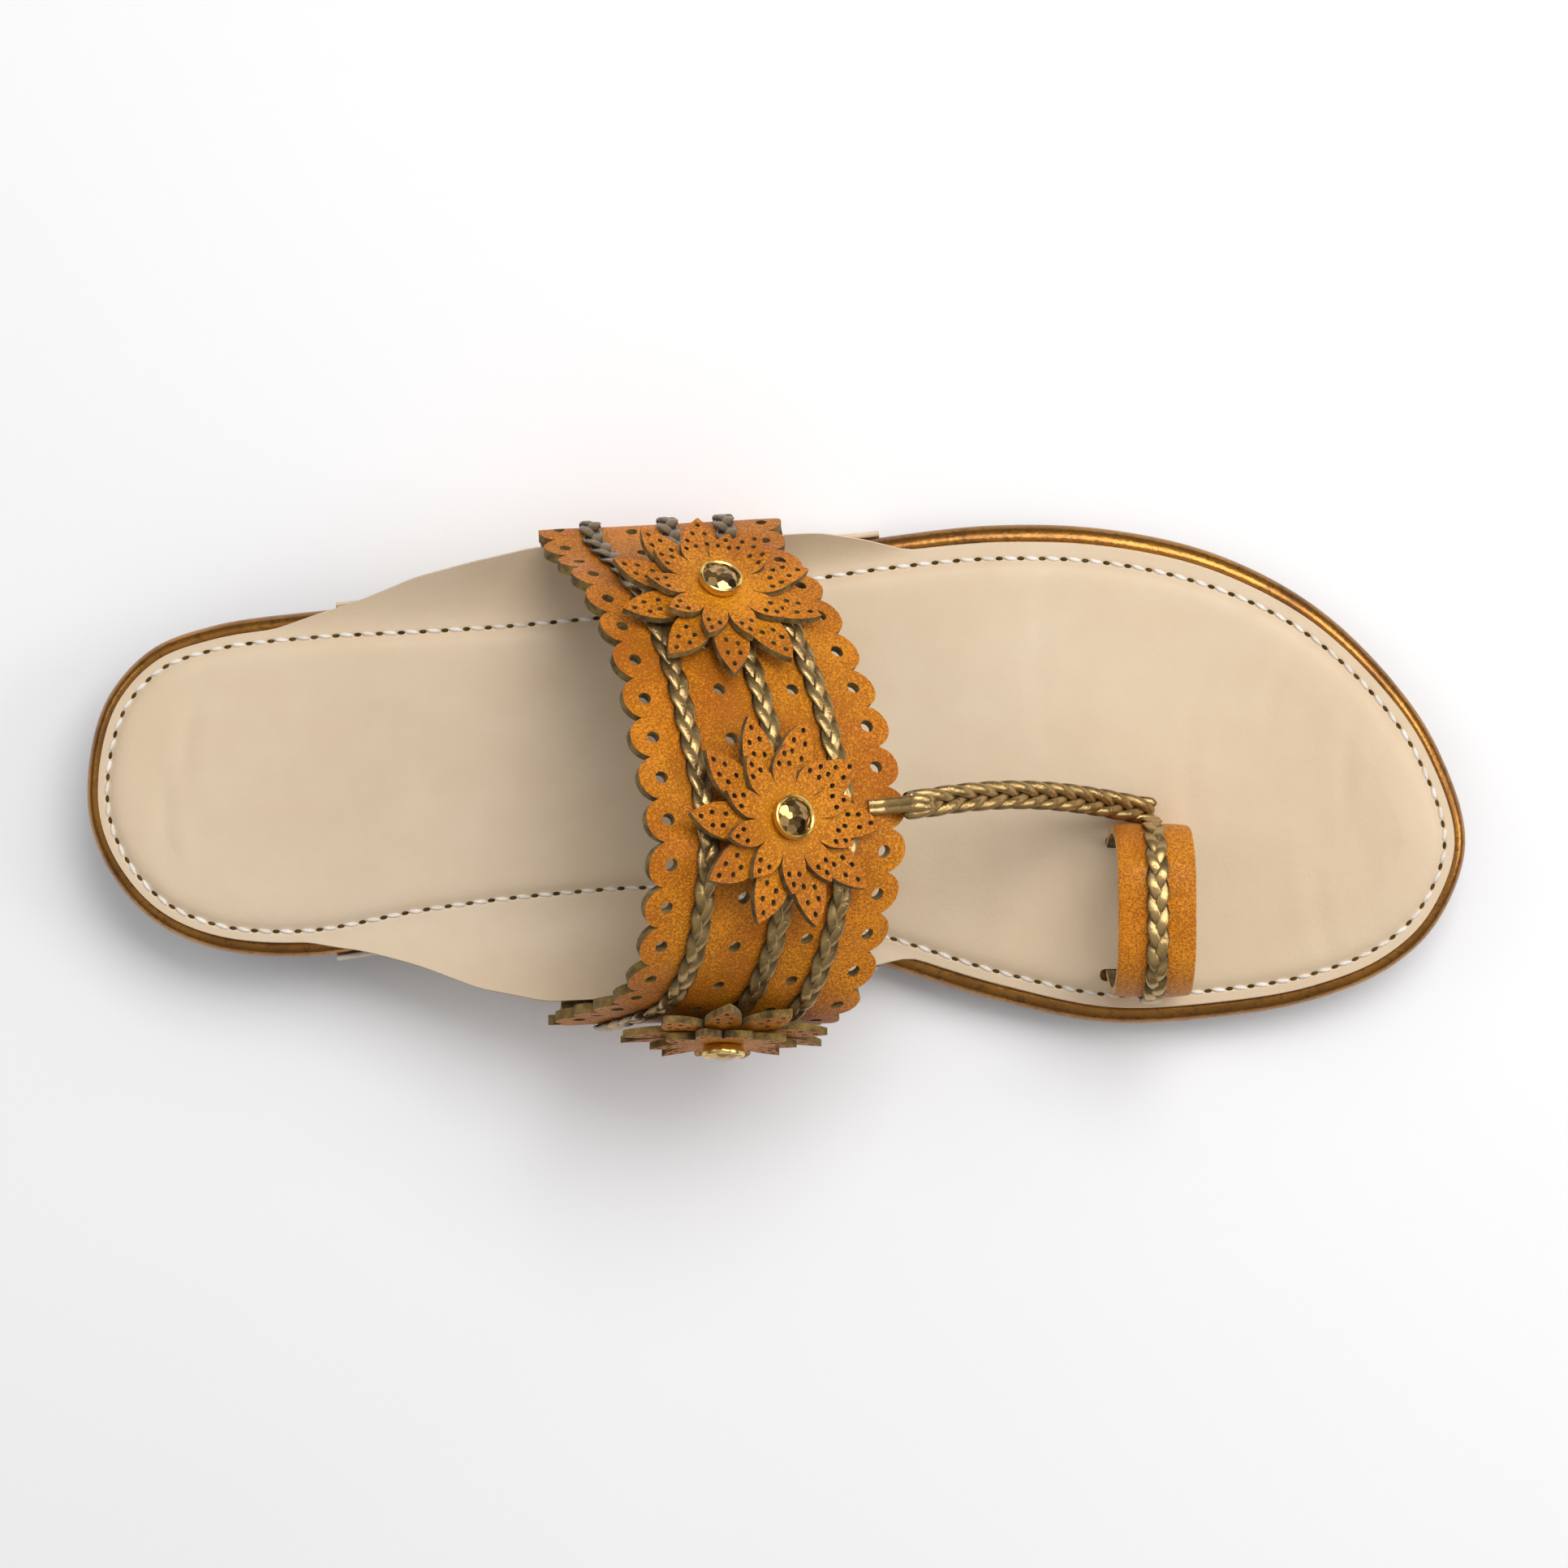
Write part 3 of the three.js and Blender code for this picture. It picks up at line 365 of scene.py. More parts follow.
RAW_EDGE = {"grain": (1800.0, 0.08), "Roughness": 0.8, "Specular_IOR_Level": 0.2}
suede = two_tone(
    "suede_backing", 420.0, tone(80, 64, 34), tone(152, 124, 68), grain=(2600.0, 0.22),
    Roughness=0.95, Specular_IOR_Level=0.15, Sheen_Weight=0.1,
)
rubber = two_tone(
    "brown_rubber", 60.0, tone(58, 44, 34), tone(74, 58, 45), rough=(0.72, 0.88),
    grain=(900.0, 0.12), Specular_IOR_Level=0.3,
)
brass = two_tone(
    "brass_cup", 300.0, tone(236, 212, 136), tone(208, 178, 98), rough=(0.16, 0.28),
    Metallic=1.0,
)
thread = two_tone(
    "white_thread", 260.0, tone(248, 245, 240), tone(226, 216, 202), grain=(2400.0, 0.08),
    Roughness=0.6, Specular_IOR_Level=0.35,
)
# Painted shade: the dark inside of a needle hole and the wall of a slot.
painted_hole_shade = two_tone(
    "painted_hole_shade", 500.0, tone(60, 43, 20), tone(98, 75, 42),
    Roughness=0.95, Specular_IOR_Level=0.1,
)
white_edge = two_tone(
    "white_raw_edge", 300.0, tone(240, 236, 228), tone(220, 210, 196), **RAW_EDGE
)
golden_edge = two_tone(
    "golden_raw_edge", 300.0, tone(184, 146, 98), tone(158, 120, 76), **RAW_EDGE
)
pale_edge = two_tone(
    "pale_cut_edge", 300.0, tone(226, 202, 160), tone(200, 166, 118), **RAW_EDGE
)
pale_floor = two_tone(
    "pale_floor", 3.0, tone(254, 254, 255), tone(251, 251, 253),
    Roughness=0.75, Specular_IOR_Level=0.2,
)
print("finishes:", len(bpy.data.materials))

# %% [markdown]
# ## Curves and meshes by place
#
# Almost every part of this shoe is a sheet that follows something else. So the main
# helper takes a plain bmesh grid and moves each vertex to a place in a table of rows,
# then merges the rows that meet. Curves run through a few measured points and bend
# evenly between them.


# %% Curves
def smooth_curve(points, closed=False, samples=24):
    """Places on an even curve through points, with some samples to each span."""
    points = np.array(points, float)
    if closed:
        padded = np.vstack([points[-1:], points, points[:2]])
    else:
        padded = np.vstack([2 * points[0] - points[1], points, 2 * points[-1] - points[-2]])
    share = np.linspace(0, 1, samples, endpoint=False)[:, None]
    pieces = []
    for a, b, c, d in zip(padded, padded[1:], padded[2:], padded[3:]):
        lead, span, tail = [np.linalg.norm(q - p) ** 0.5 for p, q in ((a, b), (b, c), (c, d))]
        go = ((b - a) / lead - (c - a) / (lead + span) + (c - b) / span) * span
        stop = ((c - b) / span - (d - b) / (span + tail) + (d - c) / tail) * span
        square = -3 * b + 3 * c - 2 * go - stop
        cube = 2 * b - 2 * c + go + stop
        pieces.append(b + go * share + square * share**2 + cube * share**3)
    if not closed:
        pieces.append(points[-1:])
    return np.vstack(pieces)


class Line:
    """A line that gives places at shares of its own length."""

    def __init__(self, places):
        steps = np.linalg.norm(np.diff(places, axis=0), axis=1)
        self.places = places
        self.walked = np.concatenate([[0.0], np.cumsum(steps)])
        self.length = self.walked[-1]

    def at(self, share):
        walk = np.clip(share, 0, 1) * self.length
        parts = [np.interp(walk, self.walked, self.places[:, k]) for k in range(3)]
        return np.stack(parts, axis=-1)


def unit(vectors):
    """Vectors brought to length one."""
    return vectors / np.linalg.norm(vectors, axis=-1, keepdims=True)


def eased(value, low, high):
    """A soft step from 0 to 1 between two values."""
    share = np.clip((value - low) / (high - low), 0, 1)
    return share * share * (3 - 2 * share)


def table_lookup(rows, column, width):
    """Values of one column of a table by its first column, with the corners eased."""
    fine = np.linspace(-0.2, 1.2, 1401)
    values = np.interp(fine, [row[0] for row in rows], [row[column] for row in rows])
    half = max(int(width * 1000), 1)
    window = np.hanning(2 * half + 3)
    values = np.convolve(np.pad(values, half + 1, mode="edge"), window / window.sum(), "valid")
    return lambda share: np.interp(share, fine, values)


# %% Meshes
def moved_grid(places, **values):
    """A bmesh grid moved to rows of places, merged where they meet, faces outwards."""
    rows, columns, _ = places.shape
    mesh = bmesh.new()
    bmesh.ops.create_grid(mesh, x_segments=columns - 1, y_segments=rows - 1, size=1.0)
    layers = [(mesh.verts.layers.float.new(key), val.ravel()) for key, val in values.items()]
    for index, (vert, place) in enumerate(zip(mesh.verts, places.reshape(-1, 3))):
        vert.co = place
        for layer, numbers in layers:
            vert[layer] = numbers[index]
    bmesh.ops.remove_doubles(mesh, verts=mesh.verts, dist=0.002)
    bmesh.ops.dissolve_degenerate(mesh, edges=mesh.edges, dist=0.001)
    bmesh.ops.recalc_face_normals(mesh, faces=mesh.faces)
    return mesh


def wall_rows(middle, normal, thickness, soft=0.3):
    """Rings round a sheet: its face, a soft edge, its back and the other edge."""
    half = thickness / 2
    ease = np.full(middle.shape[:2], half)
    ease[:, 0] *= 1 - soft
    ease[:, -1] *= 1 - soft
    front = middle + normal * ease[..., None]
    back = middle - normal * ease[..., None]
    first = middle[:, :1] + unit(middle[:, :1] - middle[:, 1:2]) * half * soft
    last = middle[:, -1:] + unit(middle[:, -1:] - middle[:, -2:-1]) * half * soft
    rings = np.concatenate([first, front, last, back[:, ::-1], first], axis=1)
    ends = np.concatenate([first, middle, last, middle[:, ::-1], first], axis=1)
    return np.concatenate([ends[:1], rings, ends[-1:]])


def joined(meshes):
    """Several bmeshes as one."""
    whole = bmesh.new()
    for mesh in meshes:
        data = bpy.data.meshes.new("joining")
        mesh.to_mesh(data)
        mesh.free()
        whole.from_mesh(data)
        bpy.data.meshes.remove(data)
    return whole


def cut_out(mesh, cutter):
    """The first mesh with the second one taken out of it."""
    things = []
    for part in (mesh, cutter):
        data = bpy.data.meshes.new("cutting")
        part.to_mesh(data)
        part.free()
        thing = bpy.data.objects.new("cutting", data)
        bpy.context.scene.collection.objects.link(thing)
        things.append(thing)
    body, tool = things
    change = body.modifiers.new("cut", "BOOLEAN")
    change.operation = "DIFFERENCE"
    change.solver = "EXACT"
    change.object = tool
    seen = body.evaluated_get(bpy.context.evaluated_depsgraph_get())
    made = bmesh.new()
    made.from_mesh(seen.to_mesh())
    seen.to_mesh_clear()
    for thing in things:
        data = thing.data
        bpy.data.objects.remove(thing)
        bpy.data.meshes.remove(data)
    return made


def remapped(mesh, mapping):
    """Every vertex moved by a mapping that takes and gives an array of places."""
    places = np.array([vert.co for vert in mesh.verts])
    for vert, place in zip(mesh.verts, mapping(places)):
        vert.co = place


def finished(mesh, name, finishes, nodes, crisp=38):
    """The mesh as a piece in metres that rides on the shoe and stands for its nodes."""
    bmesh.ops.scale(mesh, vec=(MM, MM, MM), verts=mesh.verts)
    data = bpy.data.meshes.new(name)
    mesh.to_mesh(data)
    mesh.free()
    for finish in finishes:
        data.materials.append(finish.material)
    data.shade_smooth()
    data.set_sharp_from_angle(angle=math.radians(crisp))
    piece = bpy.data.objects.new(name, data)
    bpy.context.scene.collection.objects.link(piece)
    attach(piece, "root")
    if nodes:
        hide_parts(*nodes)
    print(f"{name}: {len(data.polygons)} faces")


# %% [markdown]
# ## The sole
#
# The outline of the sole is a closed curve through sections measured every 2 cm or so.
# Outsole, midsole and insole are all loops of this outline, moved in by an inset and
# lifted to a height, and closed over the middle line of the sole. That keeps their side
# walls parallel, as a press and a wrapping tool leave them.

# %% Sizes of the sole
SOLE_LENGTH = 250
BALL_WIDTH = 91
OUTSOLE_THICKNESS = 4
OUTSOLE_SETBACK = 0.6
HEEL_LIFT = 8
HEEL_TAPER = 1.6
HEEL_FRONT = 68
TOE_SPRING = 4
MIDSOLE_THICKNESS = 6
RIM_ROLL = 2.6
GAP = 0.3
INSOLE_THICKNESS = 1.6
CUSHION_RISE = 0.9
SOLE_ROWS = [
    (0.012, 0.156, 0.153), (0.045, 0.265, 0.266), (0.09, 0.314, 0.326),
    (0.16, 0.342, 0.343), (0.25, 0.36, 0.303), (0.34, 0.382, 0.275),
    (0.42, 0.409, 0.265), (0.5, 0.459, 0.3), (0.58, 0.498, 0.368),
    (0.66, 0.521, 0.436), (0.74, 0.513, 0.48), (0.82, 0.463, 0.47),
    (0.89, 0.362, 0.435), (0.945, 0.218, 0.37), (0.98, 0.073, 0.276),
]


# %% Heights along the sole
def along_of(x):
    return x / SOLE_LENGTH + 0.5


def underside_at(along):
    arch = HEEL_LIFT * (1 - eased(along, 0.2, 0.6))
    spring = TOE_SPRING * np.clip((along - 0.77) / 0.23, 0, 1) ** 1.8
    return arch + spring


def seam_at(along):
    return underside_at(along) + OUTSOLE_THICKNESS


def bed_at(along):
    return seam_at(along) + MIDSOLE_THICKNESS + 2 * GAP


print("bed over the heel:", bed_at(0.1), "mm")


# %% Outline of the sole
def section_places(column, sign):
    return [((row[0] - 0.5) * SOLE_LENGTH, sign * row[column] * BALL_WIDTH, 0) for row in SOLE_ROWS]


heel_end = (-0.5 * SOLE_LENGTH, -0.031 * BALL_WIDTH, 0)
toe_end = (0.5 * SOLE_LENGTH, -0.117 * BALL_WIDTH, 0)
outer_side = section_places(1, 1)
inner_side = section_places(2, -1)[::-1]
outline = smooth_curve([heel_end, *outer_side, toe_end, *inner_side], closed=True, samples=10)
travel = np.roll(outline, -1, axis=0) - np.roll(outline, 1, axis=0)
outward = unit(np.stack([-travel[:, 1], travel[:, 0], np.zeros(len(outline))], axis=1))
stations = len(outline)
on_outer = np.arange(stations) <= stations // 2
station_along = along_of(outline[:, 0])
print("stations round the sole:", stations)


# %% Loops and closed sole shapes
def sole_loop(inset, height_at):
    """The outline moved in, at a height that follows the sole."""
    moved = outline - outward * np.broadcast_to(inset, stations)[:, None]
    moved[:, 2] = height_at(along_of(moved[:, 0]))
    return moved


def to_spine(loop, shares=(0.12, 0.26, 0.42, 0.6, 0.8, 1.0)):
    """Rows from a loop in to the middle line, where the two sides meet."""
    middle = (loop + loop[-np.arange(stations) % stations]) / 2
    return [loop + (middle - loop) * share for share in shares]


def sole_shape(loops, **values):
    """A closed shape over loops from the bottom up."""
    rows = np.array([*to_spine(loops[0])[::-1], *loops, *to_spine(loops[-1])])
    return moved_grid(np.concatenate([rows, rows[:, :1]], axis=1), **values)


# %% [markdown]
# ### Outsole and heel
#
# Both are cut from brown rubber sheet. Grooves are milled across the tread, so they are
# made the same way here: a row of blocks is taken out of the closed shape.


# %% Tread cutter
def tread_cutter(from_x, to_x, pitch=4.5, width=1.5, depth=1.0):
    """Blocks for straight grooves across the tread."""
    mesh = bmesh.new()
    count = int((to_x - from_x) / pitch)
    start = (from_x + to_x - (count - 1) * pitch) / 2
    for i in range(count):
        place = Matrix.Translation((start + i * pitch, 0, 0))
        size = Matrix.Diagonal((width, BALL_WIDTH * 2, depth * 2, 1))
        bmesh.ops.create_cube(mesh, size=1.0, matrix=place @ size)
    return mesh


# %% Outsole
def make_outsole():
    edge = 0.8
    shape = sole_shape([
        sole_loop(OUTSOLE_SETBACK + edge, underside_at),
        sole_loop(OUTSOLE_SETBACK + 0.25, lambda a: underside_at(a) + 0.25 * edge),
        sole_loop(OUTSOLE_SETBACK, lambda a: underside_at(a) + edge),
        sole_loop(OUTSOLE_SETBACK, lambda a: seam_at(a) - 0.3),
        sole_loop(OUTSOLE_SETBACK + 0.2, seam_at),
    ])
    return cut_out(shape, tread_cutter(0.12 * SOLE_LENGTH, 0.26 * SOLE_LENGTH))


finished(make_outsole(), "rubber_outsole", [rubber], ["outsole"])


# %% Heel block
def make_heel():
    top_at = lambda a: np.maximum(underside_at(a) - GAP, 1.0)
    shape = sole_shape([
        sole_loop(OUTSOLE_SETBACK + HEEL_TAPER + 0.4, lambda a: a * 0),
        sole_loop(OUTSOLE_SETBACK + HEEL_TAPER, lambda a: a * 0 + 0.4),
        sole_loop(OUTSOLE_SETBACK + 0.1, lambda a: top_at(a) - 0.3),
        sole_loop(OUTSOLE_SETBACK + 0.3, top_at),
    ])
    back = -0.5 * SOLE_LENGTH
    everything = shape.verts[:] + shape.edges[:] + shape.faces[:]
    breast = (back + HEEL_FRONT, 0, 0)
    bmesh.ops.bisect_plane(
        shape, geom=everything, plane_co=breast, plane_no=(1, 0, 0), clear_outer=True
    )
    open_edges = [edge for edge in shape.edges if edge.is_boundary]
    bmesh.ops.holes_fill(shape, edges=open_edges, sides=0)
    bmesh.ops.recalc_face_normals(shape, faces=shape.faces)
    return cut_out(shape, tread_cutter(back + 4, back + HEEL_FRONT - 2))


finished(make_heel(), "rubber_heel", [rubber], ["heel"])

# %% [markdown]
# ### Midsole with its rolled bronze edge
#
# Metallic leather is wrapped round the midsole and pulled tight over its top edge. The
# roll is a quarter of an ellipse in section. A fine ridge runs close to the insole,
# where the wrap ends on itself, and it catches the light as a thin line.

# %% How far in the insole's edge and its stitches lie
RIM_ROWS = {
    "outer": [(0, 2.8), (0.2, 2.9), (0.5, 3.1), (0.68, 3.7), (0.84, 3.6), (0.95, 3.0), (1, 2.8)],
    "inner": [(0, 2.8), (0.2, 2.9), (0.5, 3.1), (0.68, 3.3), (0.84, 3.2), (0.95, 2.9), (1, 2.8)],
}
SEAM_ROWS = {
    "outer": [
        (0, 4.4), (0.1, 4.6), (0.3, 5.5), (0.5, 5.6),
        (0.68, 6.5), (0.82, 6.4), (0.93, 5.1), (1, 4.5),
    ],
    "inner": [
        (0, 4.4), (0.1, 4.6), (0.3, 5.2), (0.5, 5.3),
        (0.68, 5.3), (0.82, 5.3), (0.93, 4.9), (1, 4.5),
    ],
}


def by_side(tables):
    """One value for each station, from the table of its side."""
    outer, inner = [table_lookup(tables[side], 1, 0.03)(station_along) for side in tables]
    return np.where(on_outer, outer, inner)


rim_inset = by_side(RIM_ROWS)
seam_inset = by_side(SEAM_ROWS)
print("stitches lie", seam_inset.min().round(1), "to", seam_inset.max().round(1), "mm in")


# %% Midsole
def make_midsole():
    top_at = lambda a: bed_at(a) - GAP
    bottom_at = lambda a: seam_at(a) + GAP
    loops = [
        sole_loop(OUTSOLE_SETBACK + 0.8, bottom_at),
        sole_loop(0.3, lambda a: bottom_at(a) + 0.3),
        sole_loop(0.0, lambda a: bottom_at(a) + 0.9),
        sole_loop(-0.1, lambda a: bottom_at(a) + 2.0),
    ]
    for turn in np.radians([0, 14, 28, 42, 56, 70, 82]):
        inset = rim_inset * 0.82 * (1 - math.cos(turn))
        drop = RIM_ROLL * (1 - math.sin(turn))
        loops.append(sole_loop(inset, lambda a, drop=drop: top_at(a) - drop))
    for share, lift in ((0.84, -0.12), (0.88, 0.12), (0.93, 0.18), (0.98, 0.02), (1.15, -0.1)):
        loops.append(sole_loop(rim_inset * share, lambda a, lift=lift: top_at(a) + lift))
    return sole_shape(loops)


finished(make_midsole(), "wrapped_midsole", [bronze], ["midsole"], crisp=60)

# %% [markdown]
# ### Insole and its wings
#
# The insole is one sheet of beige lining over thin foam. At the waist it spreads into
# two wings that curl up and out. Just inside the stitches the foam rises, so the sewn
# margin lies a little lower. The wing tables give its flare and rise along the sole,
# and a few soft creases are listed where the toes and the ball press.

# %% Wings
WING_ROWS = {
    "outer": [
        (0.136, 0, 0), (0.2, 0.36, 0.2), (0.24, 0.68, 0.5), (0.282, 0.86, 0.78),
        (0.33, 1.02, 1.02), (0.4, 0.87, 1.01), (0.488, 0.6, 0.94), (0.53, 0.5, 0.71),
        (0.562, 0.27, 0.34), (0.592, 0, 0),
    ],
    "inner": [
        (0.164, 0, 0), (0.2, 0.16, 0.1), (0.24, 0.44, 0.35), (0.282, 0.76, 0.7),
        (0.33, 0.97, 0.95), (0.4, 1.02, 1.02), (0.488, 0.94, 0.94), (0.53, 0.63, 0.61),
        (0.562, 0.27, 0.22), (0.592, 0, 0),
    ],
}
WING_FLARE = {"outer": 10.4, "inner": 17.0}
WING_HEIGHT = 7.5
WING_FACING = 1.0


def wing_reach(side, along):
    """How far out and up the insole's edge is carried at a place."""
    out = WING_FLARE[side] * table_lookup(WING_ROWS[side], 1, 0.012)(along)
    lift = WING_HEIGHT * table_lookup(WING_ROWS[side], 2, 0.012)(along)
    return out, lift


outer_wing, inner_wing = [wing_reach(side, station_along) for side in ("outer", "inner")]
wing_out = np.where(on_outer, outer_wing[0], inner_wing[0])
wing_lift = np.where(on_outer, outer_wing[1], inner_wing[1])
print("widest wing:", wing_out.max().round(1), "mm")

# %% Creases pressed into the insole, one row each: x, y, turn, half length, depth
CREASES = [
    (92, 22, 62, 13, 0.18), (103, 8, 80, 12, 0.15), (84, 34, 46, 10, 0.15),
    (98, -24, 100, 11, 0.12), (74, 6, 84, 15, 0.16), (52, -14, 96, 18, 0.14),
    (47, 26, 84, 14, 0.14), (-106, 10, 78, 11, 0.2), (-110, -8, 96, 10, 0.2),
]


def crease_drop(x, y):
    """Depth of the creases at places on the insole."""
    drop = np.zeros_like(x)
    for at_x, at_y, turn, half, depth in CREASES:
        way = math.radians(turn)
        run = (x - at_x) * math.cos(way) + (y - at_y) * math.sin(way)
        off = (y - at_y) * math.cos(way) - (x - at_x) * math.sin(way)
        bow = off + 0.012 * run**2
        drop += depth * np.exp(-(bow / 1.5) ** 2 - (run / half) ** 4)
        drop -= 0.5 * depth * np.exp(-((np.abs(bow) - 3.2) / 1.6) ** 2 - (run / half) ** 4)
    return drop


# %% Insole loops
MARGIN_ROWS = [(0.0, 1.0), (0.08, 0.82), (0.18, 0.6), (0.3, 0.36), (0.42, 0.16), (0.55, 0.03)]


def insole_loop(share_in, wing, height, past=0.0):
    """A loop by its share of the way to the stitches, its share out on the wing."""
    inset = rim_inset + (seam_inset - rim_inset) * share_in + past
    moved = outline + outward * (wing * wing_out - inset)[:, None]
    moved[:, 2] = bed_at(station_along) + height + wing**1.6 * wing_lift
    return moved


# %% Sizes of the toe ring, and the slots for its ends
RING_WIDTH = 13.6
RING_SPAN = 31
RING_HEIGHT = 23.5
RING_THICKNESS = 1.5
RING_ALONG = 66.4
RING_ACROSS = -22.6
RING_ROWS = [(0.82, 0), (0.94, 0.2), (1, 0.45), (0.9, 0.74), (0.56, 0.95), (0, 1)]
RING_HALF = RING_SPAN / 2 - RING_THICKNESS / 2
RING_FLOOR = bed_at(along_of(RING_ALONG)) + INSOLE_THICKNESS + CUSHION_RISE
RING_FOOT = bed_at(along_of(RING_ALONG)) + GAP
SLOT_ROOM = 0.7
SLOT_SHIFT = 0.2
SLOT_DEPTH = 12
SLOT_LONGER = {1: 0.4, -1: 1.4}


def slot_cutter():
    """Two rounded slots for the ends of the toe ring."""
    mesh = bmesh.new()
    for side, longer in SLOT_LONGER.items():
        foot = RING_ACROSS + side * RING_HALF * RING_ROWS[0][0]
        place = Matrix.Translation((RING_ALONG - longer / 2 + SLOT_SHIFT, foot, RING_FLOOR))
        size = (RING_WIDTH + longer, RING_THICKNESS + SLOT_ROOM, SLOT_DEPTH, 1)
        bmesh.ops.create_cube(mesh, size=1.0, matrix=place @ Matrix.Diagonal(size))
    upright = [edge for edge in mesh.edges if abs((edge.verts[0].co - edge.verts[1].co).z) > 5]
    bmesh.ops.bevel(
        mesh, geom=upright, offset=0.9, affect="EDGES", segments=3, profile=0.5, material=-1
    )
    return mesh


# %% Insole
CUSHION_ROWS = [(1.0, 0.35), (1.7, 0.68), (2.6, 0.88), (3.8, 0.96), (5.5, 0.95), (8.0, 0.9)]
CUSHION_SHARES = (0.06, 0.12, 0.2, 0.28, 0.36, 0.45, 0.55, 0.66, 0.78, 0.9, 1.0)
SLOT_ZONE = (10, 17)
RIM_SHOWS = 0.6
RIM_END = -5


def insole_finish(face, layer):
    """0 is the lining, 1 the wall of a slot in painted shade, 2 the golden edge of a raised wing.
    """
    middle = face.calc_center_median()
    near_x = abs(middle.x - RING_ALONG) < SLOT_ZONE[0]
    near_y = abs(middle.y - RING_ACROSS) < SLOT_ZONE[1]
    raised = middle.z - bed_at(along_of(middle.x)) > INSOLE_THICKNESS + RIM_SHOWS
    on_rim = min(vert[layer] for vert in face.verts) > 0.9
    if on_rim and raised and middle.x < RIM_END:
        return 2
    return 1 if near_x and near_y and abs(face.normal.z) < 0.5 else 0


def make_insole():
    thick = INSOLE_THICKNESS
    below = [insole_loop(0.7, 0, 0.0)]
    below += [insole_loop(share, wing, 0.0) for share, wing in MARGIN_ROWS[::-1]]
    edge = [insole_loop(-0.06, 1, 0.3), insole_loop(-0.09, 1, 0.85), insole_loop(-0.05, 1, 1.4)]
    above = [insole_loop(share, wing, thick) for share, wing in MARGIN_ROWS]
    above += [insole_loop(0.72, 0, thick), insole_loop(0.86, 0, thick - 0.06)]
    above += [insole_loop(1.0, 0, thick - 0.28), insole_loop(1.0, 0, thick - 0.02, past=0.5)]
    above += [insole_loop(1.0, 0, thick + lift, past=past) for past, lift in CUSHION_ROWS]
    under = to_spine(below[0])[::-1]
    over = to_spine(above[-1], CUSHION_SHARES)
    rows = np.array([*under, *below, *edge, *above, *over])
    first = len(under) + len(below)
    top = first + len(edge)
    rim = np.zeros(rows.shape[:2])
    rim[first:top] = 1.0
    rows[top:, :, 2] -= crease_drop(rows[top:, :, 0], rows[top:, :, 1])
    rows = np.concatenate([rows, rows[:, :1]], axis=1)
    mesh = moved_grid(rows, rim=np.concatenate([rim, rim[:, :1]], axis=1))
    mesh = cut_out(mesh, slot_cutter())
    layer = mesh.verts.layers.float["rim"]
    for face in mesh.faces:
        face.material_index = insole_finish(face, layer)
    return mesh


finished(
    make_insole(), "padded_insole", [lining, painted_hole_shade, golden_edge], ["insole"],
    crisp=60,
)

# %% [markdown]
# ### Stitches
#
# White waxed thread holds the insole down, one stitch every 3.9 mm. Each stitch is a
# small slanted lens of a few dozen faces, and a flat dark oval between each two is painted
# shade that stands for the needle hole.
# The whole row is one mesh, because nobody picks up a single stitch.

# %% Stitch line
STITCH_PITCH = 3.9
seam_places = insole_loop(1.0, 0, INSOLE_THICKNESS - 0.2)
seam_places[:, 2] -= crease_drop(seam_places[:, 0], seam_places[:, 1])
stitch_line = Line(np.vstack([seam_places, seam_places[:1]]))
stitch_count = round(stitch_line.length / STITCH_PITCH)
print("stitches:", stitch_count)


def make_stitches(share_shift, size, slant, sink):
    """Small lenses along the seam, each turned a little against it."""
    mesh = bmesh.new()
    for i in range(stitch_count):
        share = ((i + share_shift) / stitch_count) % 1.0
        here = stitch_line.at(share)
        ahead = stitch_line.at(share + 0.001) - stitch_line.at(share - 0.001)
        ahead = Vector(ahead).normalized()
        turn = ahead.to_track_quat("X", "Z").to_matrix().to_4x4()
        lean = Matrix.Rotation(math.radians(slant), 4, "Z")
        place = Matrix.Translation(Vector(here) + Vector((0, 0, sink)))
        shape = place @ turn @ lean @ Matrix.Diagonal((*size, 1))
        bmesh.ops.create_uvsphere(mesh, u_segments=8, v_segments=6, radius=1, matrix=shape)
    return mesh


finished(
    make_stitches(0.5, (1.32, 0.42, 0.42), -9, 0.1), "insole_stitches", [thread], []
)
# Flat dark ovals between the stitches: painted shade for the needle holes.
finished(
    make_stitches(0.0, (0.68, 0.44, 0.16), 0, 0.05), "stitch_hole_shades",
    [painted_hole_shade], [],
)

# %% [markdown]
# ### Facings of the wings
#
# A second sheet covers the outside of each wing and is tucked in under the midsole. Its
# raw edge meets the insole's edge at the top of the wing, white on the inner side.


# %% Places round the edge of the sole
def edge_place(side, along, margin):
    """Place on the sole's edge at one side, moved out by a margin."""
    keep = on_outer if side == "outer" else ~on_outer
    order = np.argsort(station_along[keep])
    known = station_along[keep][order]
    place = [np.interp(along, known, outline[keep][order][:, k]) for k in range(2)]
    away = [np.interp(along, known, outward[keep][order][:, k]) for k in range(2)]
    away = np.array(away) / np.hypot(*away)
    return np.array([*(np.array(place) + away * margin), 0.0])


# %% Facing
RIM_BACK = 3
TUCK_DEPTH = 5.0
FACING_BELLY = 0.35
FACING_RISE = 0.55


